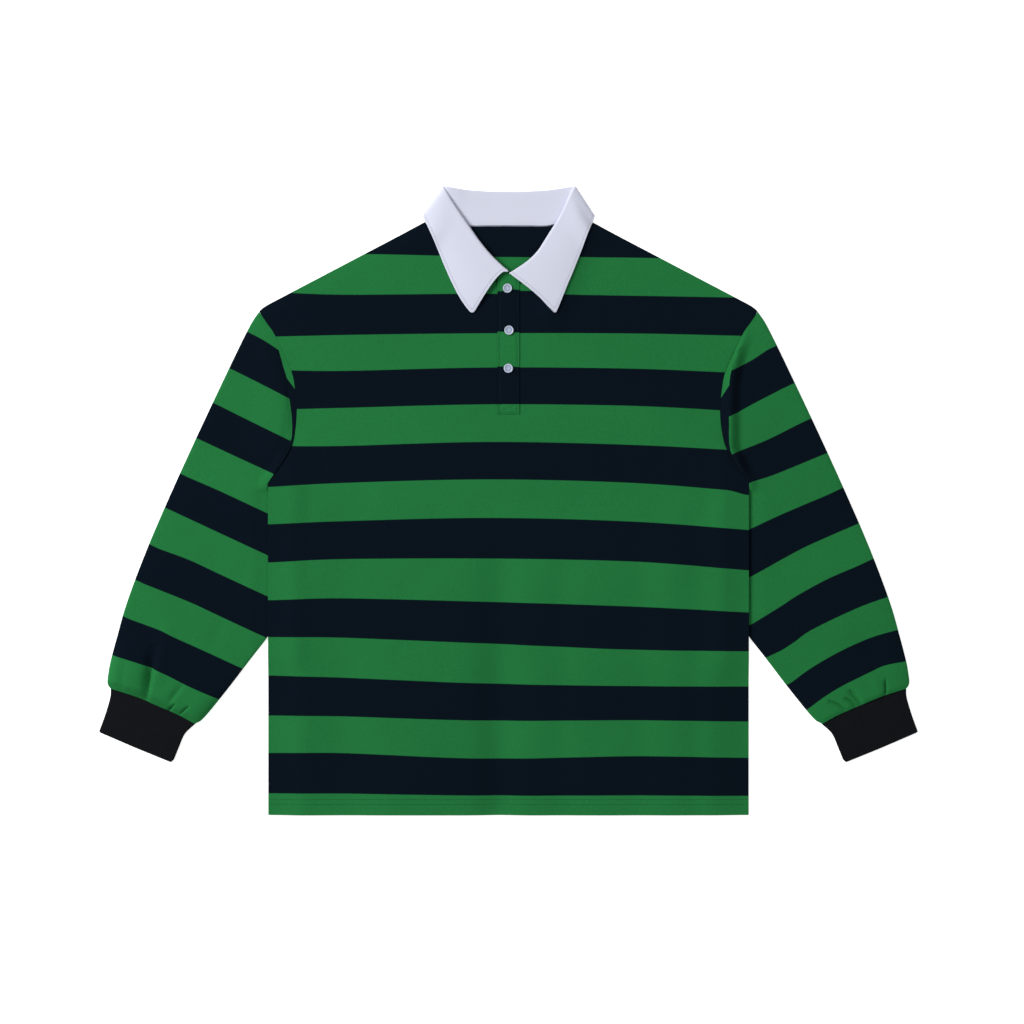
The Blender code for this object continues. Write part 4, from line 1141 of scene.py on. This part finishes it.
def button(name, place, look):
    """A button with a raised rim and four holes."""
    turns = np.linspace(0, 2 * math.pi, BUTTON_SIDES, endpoint=False)
    circle = np.column_stack([np.cos(turns), np.sin(turns)])
    radii = np.linspace(0.0, BUTTON_RADIUS, BUTTON_RINGS + 1)[1:]
    plan = np.vstack([(0.0, 0.0), *(circle * radius for radius in radii)])
    inward, heights = np.array(BUTTON_FACE).T
    reach = np.linalg.norm(plan, axis=1)
    height = np.interp(reach, BUTTON_RADIUS - BUTTON_RIM * inward, heights)
    for hole in ((x * HOLE_PLACE, y * HOLE_PLACE) for x in (-1, 1) for y in (-1, 1)):
        away = np.linalg.norm(plan - hole, axis=1)
        height -= HOLE_DEPTH * (1 - smooth(*HOLE_EDGE, away))
    points = [with_height(plan, height)]
    points += [with_height(circle * radius, np.full(BUTTON_SIDES, z)) for radius, z in BUTTON_LOW_RINGS]
    points = np.vstack([*points, (0.0, 0.0, 0.0)])
    last = len(points) - 1 - BUTTON_SIDES
    around = [(i, (i + 1) % BUTTON_SIDES) for i in range(BUTTON_SIDES)]
    faces = [(0, 1 + i, 1 + j) for i, j in around]
    for first in range(1, last, BUTTON_SIDES):
        beyond = first + BUTTON_SIDES
        faces += [(first + i, beyond + i, beyond + j, first + j) for i, j in around]
    faces += [(len(points) - 1, last + j, last + i) for i, j in around]
    made = object_from(name, points, faces, look)
    map_vertices(made, "cloth", button_chart)
    made.data.transform(Matrix.Translation((*place, button_seat(place))))
    return made


def collar_section(row):
    """One section of the collar's middle surface, from the neck seam to the outer edge."""
    seam, roll, roll_z, edge = row[0:2], row[2:4], row[4], row[5:7]
    bow, radius, turn = row[7], row[8], math.radians(row[9])
    forward = (roll - seam) / np.linalg.norm(roll - seam)
    outward = np.array((-forward[1], forward[0]))
    if outward @ (edge - roll) < 0:
        outward = -outward
    normal = np.array((*(math.sin(turn) * outward), math.cos(turn)))
    ahead = np.array((*forward, 0.0))
    centre = np.array((*roll, roll_z)) - ahead * radius
    in_front = (1 + math.cos(turn)) / 2
    over_placket = 1 - smooth(*COLLAR_END_XS, abs(seam[0] - PLACKET_X))
    seam_front = front_base(seam[None])[0] + CLOTH / 2 + COLLAR_END_LIFT * over_placket
    seam_back = back_base(seam[None])[0] + COLLAR_CLOTH / 2
    edge_front = front_base(edge[None])[0] + CLOTH + COLLAR_REST_GAP + COLLAR_CLOTH / 2
    start = np.array((*seam, in_front * seam_front + (1 - in_front) * seam_back))
    stop = np.array((*edge, in_front * edge_front + (1 - in_front) * COLLAR_CLOTH / 2))
    stand_top, fall_top = centre - normal * radius, centre + normal * radius
    along = (edge - roll) / np.linalg.norm(edge - roll)
    across = np.array((-along[1], along[0], 0.0))
    if across[1] < 0:
        across = -across
    skew = BOW_SKEW_RIGHT if seam[0] < PLACKET_X else BOW_SKEW_LEFT
    points = []
    for share in np.arange(STAND_STEPS) / STAND_STEPS:
        bowed = across * bow * STAND_BOW * 4 * share * (1 - share)
        points.append(start + (stand_top - start) * share + bowed)
    for angle in np.linspace(-math.pi / 2, math.pi / 2, ROLL_STEPS + 1):
        points.append(centre + radius * (math.sin(angle) * normal + math.cos(angle) * ahead))
    for share in np.arange(1, FALL_STEPS + 1) / FALL_STEPS:
        skewed = share**skew
        place = fall_top + (stop - fall_top) * share + across * bow * 4 * skewed * (1 - skewed)
        place[2] += COLLAR_ARCH * in_front * math.sin(math.pi * share)
        points.append(place)
    return points


def distance_to_edge(sections):
    """How far each of the collar's points lies from the fall's outer edge or from a front end."""
    spans = np.linalg.norm(np.diff(sections, axis=1), axis=2)
    to_edge = np.zeros(sections.shape[:2])
    to_edge[:, :-1] = np.cumsum(spans[:, ::-1], axis=1)[:, ::-1]
    for step in (1, -1):
        leaf = sections[::step][:FRONT_SECTIONS, FALL_START:, :2]
        to_front = nearest(leaf.reshape(-1, 2), leaf[0])[0].reshape(FRONT_SECTIONS, -1)
        part = to_edge[::step][:FRONT_SECTIONS, FALL_START:]
        np.minimum(part, to_front, out=part)
    to_edge[:, :FALL_START] = FAR_FROM_EDGE
    return to_edge


def collar(look):
    sections = np.array([collar_section(row) for row in curve_through(collar_rows(), SECTIONS_PER_ROW)])
    width = sections.shape[1]
    faces = []
    for s in range(len(sections) - 1):
        for a in range(s * width, s * width + width - 1):
            faces.append((a, a + 1, a + 1 + width, a + width))
    made = object_from("collar_twill", sections.reshape(-1, 3), faces, look, closed=False)
    to_edge = distance_to_edge(sections).ravel() * 100
    map_vertices(made, "edge", lambda places: np.column_stack([to_edge, places[:, 1]]))
    thick = made.modifiers.new("cloth", "SOLIDIFY")
    thick.thickness = COLLAR_CLOTH
    thick.offset = 0.0
    soften_edges(made)
    return made, sections


def leaf_stitch(leaf, turn):
    """The stitch line inside a leaf's front and outer edges, in plan. The first section is the front end."""
    edge = np.vstack([leaf[0, :, :2], leaf[1:, -1, :2]])
    line = edge - turn * COLLAR_STITCH * left_of(edge)
    return line[nearest(line, edge)[0] > COLLAR_STITCH_LEAST]


def heights_on(surface, count=4):
    """A function that gives the mean height of the surface's points nearest to each point in plan."""
    tree = tree_of(surface)

    def height(points):
        made = []
        for point in points:
            found = tree.find_n((*point, 0.0), count)
            weights = [1 / (away + 1e-6) for _, _, away in found]
            made.append(sum(w * surface[n][2] for w, (_, n, _) in zip(weights, found)) / sum(weights))
        return np.array(made)

    return height


def stitches(name, lines, height, radius, look, step_length=STITCH_STEP):
    """Rows of short stitches along lines in plan, each lying at the height there."""
    points, faces = [], []
    for line in lines:
        line = evenly(line, step_length)
        for start, end in zip(line, line[1:]):
            middle = (start + end) / 2
            ahead = (end - start) * STITCH_SHARE
            aside = np.array((-ahead[1], ahead[0])) / np.linalg.norm(ahead)
            z = height(middle[None])[0]
            first = len(points)
            for share, size in STITCH_RINGS:
                for turn in np.arange(STITCH_SIDES) * 2 * math.pi / STITCH_SIDES:
                    place = middle + ahead * share + aside * radius * size * math.cos(turn)
                    points.append((*place, z + radius * size * math.sin(turn)))
            for low in range(first, len(points) - STITCH_SIDES, STITCH_SIDES):
                for step in range(STITCH_SIDES):
                    a, b = low + step, low + (step + 1) % STITCH_SIDES
                    faces.append((a, b, b + STITCH_SIDES, a + STITCH_SIDES))
    return object_from(name, points, faces, look, closed=False)


def new_node(tree, kind, inputs=(), **settings):
    """A shader node with its settings, its inputs given as values or as sockets to link."""
    made = tree.nodes.new(kind)
    for key, value in settings.items():
        setattr(made, key, value)
    for socket, value in dict(inputs).items():
        if isinstance(value, bpy.types.NodeSocket):
            tree.links.new(value, made.inputs[socket])
        else:
            made.inputs[socket].default_value = value
    return made


def calc(tree, operation, *values):
    """The result of one Math node."""
    return new_node(tree, "ShaderNodeMath", enumerate(values), operation=operation).outputs[0]


def times(tree, first, second):
    return calc(tree, "MULTIPLY", first, second)


def off(tree, value, centre):
    """How far the value is from the centre."""
    return calc(tree, "ABSOLUTE", calc(tree, "SUBTRACT", value, centre))


def scaled(tree, value, low, high, to_low, to_high, kind="LINEAR"):
    """The result of a Map Range node."""
    inputs = {0: value, 1: low, 2: high, 3: to_low, 4: to_high}
    return new_node(tree, "ShaderNodeMapRange", inputs, interpolation_type=kind).outputs[0]


def blended(tree, share, first, second, kind="MIX"):
    """The result of a colour Mix node."""
    inputs = {0: share, 6: first, 7: second}
    return new_node(tree, "ShaderNodeMix", inputs, data_type="RGBA", blend_type=kind).outputs[2]


def toned(tree, colour, tone):
    """The colour made lighter or darker by the tone."""
    grey = new_node(tree, "ShaderNodeCombineXYZ", {0: tone, 1: tone, 2: tone}).outputs[0]
    return blended(tree, 1.0, colour, grey, "MULTIPLY")


def noise(tree, scale, detail=2.0):
    """Noise over the object's own place."""
    place = new_node(tree, "ShaderNodeTexCoord").outputs["Object"]
    inputs = {"Vector": place, "Scale": scale, "Detail": detail, "Roughness": 0.5}
    return new_node(tree, "ShaderNodeTexNoise", inputs).outputs["Fac"]


def uneven(tree, scale, low, high, detail=2.0):
    """Noise that runs from low to high."""
    return scaled(tree, noise(tree, scale, detail), 0.3, 0.7, low, high)


def map_axes(tree, name):
    """The two coordinates of a map of the mesh."""
    place = new_node(tree, "ShaderNodeUVMap", uv_map=name).outputs[0]
    return new_node(tree, "ShaderNodeSeparateXYZ", {0: place}).outputs[:2]


def opaque(colour, share=1.0):
    """The colour times the share, with no transparency."""
    return (*(part * share for part in colour), 1.0)


def new_look(name, specular, sheen=0.0):
    """A new material: its node tree and its shader."""
    made = bpy.data.materials.new(name)
    made.use_nodes = True
    shader = made.node_tree.nodes["Principled BSDF"]
    shader.inputs["Specular IOR Level"].default_value = specular
    shader.inputs["Sheen Weight"].default_value = sheen
    shader.inputs["Sheen Roughness"].default_value = 0.5
    return made, made.node_tree, shader


def finish_look(tree, shader, colour, roughness, height, distance):
    """Links colour, roughness and bump to the shader."""
    bump = new_node(tree, "ShaderNodeBump", {"Height": height, "Strength": 0.6, "Distance": distance})
    tree.links.new(colour, shader.inputs["Base Color"])
    tree.links.new(roughness, shader.inputs["Roughness"])
    tree.links.new(bump.outputs[0], shader.inputs["Normal"])


def knit_height(tree, along, across):
    """The face of a plain knit: columns of V-shaped loops. Both axes are in bands of the stripes."""
    column = times(tree, along, COLUMNS_PER_BAND)
    lean = calc(tree, "PINGPONG", column, 0.5)
    course = calc(tree, "ADD", times(tree, across, COURSES_PER_BAND), lean)
    loops = calc(tree, "SINE", times(tree, course, 2 * math.pi))
    valley = calc(tree, "SINE", times(tree, calc(tree, "FRACT", column), math.pi))
    return calc(tree, "ADD", times(tree, loops, 0.4), valley)


def striped_jersey():
    look, tree, shader = new_look("striped_jersey", 0.02, 0.01)
    number, along = map_axes(tree, "cloth")
    wave = calc(tree, "SINE", times(tree, number, math.pi))
    green_share = scaled(tree, wave, -STRIPE_SOFTNESS, STRIPE_SOFTNESS, 1.0, 0.0, "SMOOTHSTEP")
    colour = blended(tree, green_share, opaque(NAVY), opaque(GREEN))
    tone = times(tree, uneven(tree, 7.0, 0.96, 1.04, 3.0), uneven(tree, 900.0, 0.90, 1.10, 1.0))
    roughness = uneven(tree, 400.0, 0.82, 0.95)
    finish_look(tree, shader, toned(tree, colour, tone), roughness, knit_height(tree, along, number), 0.00012)
    return look


def collar_twill():
    look, tree, shader = new_look("white_twill", 0.15, 0.05)
    away, _ = map_axes(tree, "edge")
    groove = scaled(tree, off(tree, away, COLLAR_STITCH * 100), 0.0, 0.09, 0.0, 1.0, "SMOOTHSTEP")
    place = new_node(tree, "ShaderNodeTexCoord").outputs["Object"]
    turned = new_node(tree, "ShaderNodeMapping", {"Vector": place, "Rotation": (0.0, 0.0, 0.9)}).outputs[0]
    wave = new_node(tree, "ShaderNodeTexWave", {"Vector": turned, "Scale": 260.0, "Distortion": 0.6})
    colour = blended(tree, uneven(tree, 12.0, 0.0, 1.0, 3.0), opaque(WHITE), opaque(WHITE, 0.97))
    # Along the stitch groove the colour is darkened to 0.8 of the white: painted shade in the groove.
    colour = blended(tree, groove, opaque(WHITE, 0.80), colour)
    height = calc(tree, "ADD", times(tree, wave.outputs["Fac"], 0.25), groove)
    finish_look(tree, shader, colour, uneven(tree, 500.0, 0.75, 0.9), height, 0.0002)
    return look


def rib_knit():
    look, tree, shader = new_look("black_rib", 0.03, 0.01)
    across, _ = map_axes(tree, "cloth")
    rib = calc(tree, "SINE", times(tree, across, 2 * math.pi / RIB_WIDTH))
    rib = scaled(tree, rib, -0.6, 0.8, 0.0, 1.0, "SMOOTHSTEP")
    # The rib valleys are coloured darker than the crests: painted shade in the valleys.
    colour = blended(tree, rib, opaque(CUFF_BLACK, 0.8), opaque(CUFF_BLACK))
    colour = toned(tree, colour, uneven(tree, 700.0, 0.85, 1.15))
    finish_look(tree, shader, colour, uneven(tree, 300.0, 0.85, 0.97), rib, 0.0003)
    return look


def button_resin():
    look, tree, shader = new_look("pale_resin", 0.5)
    reach, _ = map_axes(tree, "cloth")
    blue = scaled(tree, off(tree, reach, RING_PLACE), 0.04, 0.17, 1.0, 0.0)
    colour = blended(tree, blue, opaque(BUTTON_PALE), opaque(BUTTON_BLUE))
    colour = blended(tree, uneven(tree, 250.0, 0.0, 0.25, 3.0), colour, opaque(BUTTON_BLUE))
    finish_look(tree, shader, colour, uneven(tree, 600.0, 0.25, 0.4), noise(tree, 800.0), 0.00002)
    return look


def thread(name, colour):
    look, tree, shader = new_look(name, 0.1)
    twist = noise(tree, 1500.0, 1.0)
    made = blended(tree, scaled(tree, twist, 0.3, 0.7, 0.0, 1.0), opaque(colour, 0.8), opaque(colour))
    finish_look(tree, shader, made, scaled(tree, twist, 0.3, 0.7, 0.6, 0.8), twist, 0.00005)
    return look


def floor_look():
    """A pale surface, bright enough to stay even under the shirt's soft shadow."""
    look, tree, shader = new_look("pale_floor", 0.0)
    grain = uneven(tree, 3.0, 0.0, 1.0)
    colour = blended(tree, grain, (0.86, 0.86, 0.86, 1.0), (0.88, 0.88, 0.88, 1.0))
    shader.inputs["Emission Color"].default_value = (1.0, 1.0, 1.0, 1.0)
    shader.inputs["Emission Strength"].default_value = FLOOR_GLOW
    finish_look(tree, shader, colour, scaled(tree, grain, 0.0, 1.0, 0.9, 1.0), grain, 0.0)
    return look


def stage_and_camera():
    mesh = bpy.data.meshes.new("floor")
    corners = [(x * FLOOR_HALF, y * FLOOR_HALF, 0.0) for x, y in ((-1, -1), (1, -1), (1, 1), (-1, 1))]
    mesh.from_pydata(corners, [], [(0, 1, 2, 3)])
    mesh.materials.append(floor_look())
    made = placed("floor", mesh, (0.0, 0.0, FLOOR_Z))
    for name, place, size, power in LIGHTS:
        lamp = bpy.data.lights.new(name, "AREA")
        lamp.size = size
        lamp.energy = power
        placed(name, lamp, place).rotation_euler = (-Vector(place)).to_track_quat("-Z", "Y").to_euler()
    world = bpy.data.worlds.new("studio")
    world.use_nodes = True
    background = world.node_tree.nodes["Background"]
    background.inputs["Color"].default_value = (1.0, 1.0, 1.0, 1.0)
    background.inputs["Strength"].default_value = WORLD_STRENGTH
    scene = bpy.context.scene
    scene.world = world
    scene.view_settings.view_transform = "Standard"
    lens = bpy.data.cameras.new("camera")
    lens.sensor_width = SENSOR_WIDTH
    lens.lens = SENSOR_WIDTH * CAMERA_HEIGHT / VIEW_WIDTH
    scene.camera = placed("camera", lens, (*VIEW_CENTRE, CAMERA_HEIGHT))


def dress(piece, slot, *nodes):
    """The piece rides on the shirt and stands for the nodes, which it hides. The slot is not used."""
    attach(piece, "root")
    if nodes:
        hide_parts(*nodes)
    return piece


def build():
    stage_and_camera()
    jersey = striped_jersey()
    twill = collar_twill()
    ribbed = rib_knit()
    resin = button_resin()
    green_thread = thread("green_thread", THREAD_GREEN)
    white_thread = thread("white_thread", THREAD_WHITE)

    back = dress(back_panel(jersey), "striped_jersey", "back_panel")
    front = dress(front_panel(jersey), "striped_jersey", "front_panel")
    sleeves, cuffs = [], []
    for name, side in (("right", -1), ("left", 1)):
        sleeves.append(dress(sleeve(name, side, jersey), "striped_jersey", "sleeve_" + name))
        cuffs.append(dress(cuff(name, side, ribbed), "rib_knit", "cuff_" + name))
    collar_piece, sections = collar(twill)
    dress(collar_piece, "collar_twill", "collar")
    facing = dress(placket_under(jersey), "striped_jersey", "placket_under")
    placket_piece = dress(placket(jersey), "striped_jersey", "placket")
    bars, on_buttons = [], []
    for number, (x, y) in enumerate(BUTTON_PLACES, 1):
        made = button(f"button_{number}_resin", (x, y), resin)
        dress(made, "button_resin", f"button_{number}")
        for bar_x in (x - HOLE_PLACE, x + HOLE_PLACE):
            bars.append(((bar_x, y - BUTTON_THREAD_REACH), (bar_x, y + BUTTON_THREAD_REACH)))
        on_buttons.append((x, y, button_seat((x, y)) + BUTTON_HEIGHT - BUTTON_RECESS))

    lines = [((-HEM_STITCH_X, y), (HEM_STITCH_X, y)) for y in HEM_STITCH_YS]
    hem = dress(stitches("hem_stitches", lines, front_top, STITCH_RADIUS, green_thread), "striped_jersey")
    lines = [((PLACKET_X + x, PLACKET_LOW_Y), (PLACKET_X + x, STITCH_TOP_Y)) for x in PLACKET_STITCH_XS]
    lines += [pair for line in box_stitches() for pair in zip(line, line[1:])]
    placket_seam = stitches("placket_stitches", lines, placket_surface, STITCH_RADIUS, green_thread)
    dress(placket_seam, "striped_jersey")
    leaves = [part[:LEAF_SECTIONS, FALL_START:] for part in (sections, sections[::-1])]
    on_leaves = heights_on(np.vstack([leaf.reshape(-1, 3) for leaf in leaves]) + (0.0, 0.0, COLLAR_CLOTH / 2))
    lines = [leaf_stitch(leaf, turn) for leaf, turn in zip(leaves, (1, -1))]
    collar_seam = stitches("collar_stitches", lines, on_leaves, STITCH_RADIUS, white_thread)
    dress(collar_seam, "collar_twill")
    on_buttons = heights_on(on_buttons, 1)
    bar_length = 4 * HOLE_PLACE
    bars = stitches("button_threads", bars, on_buttons, BUTTON_THREAD_RADIUS, white_thread, bar_length)
    dress(bars, "button_resin")


build()
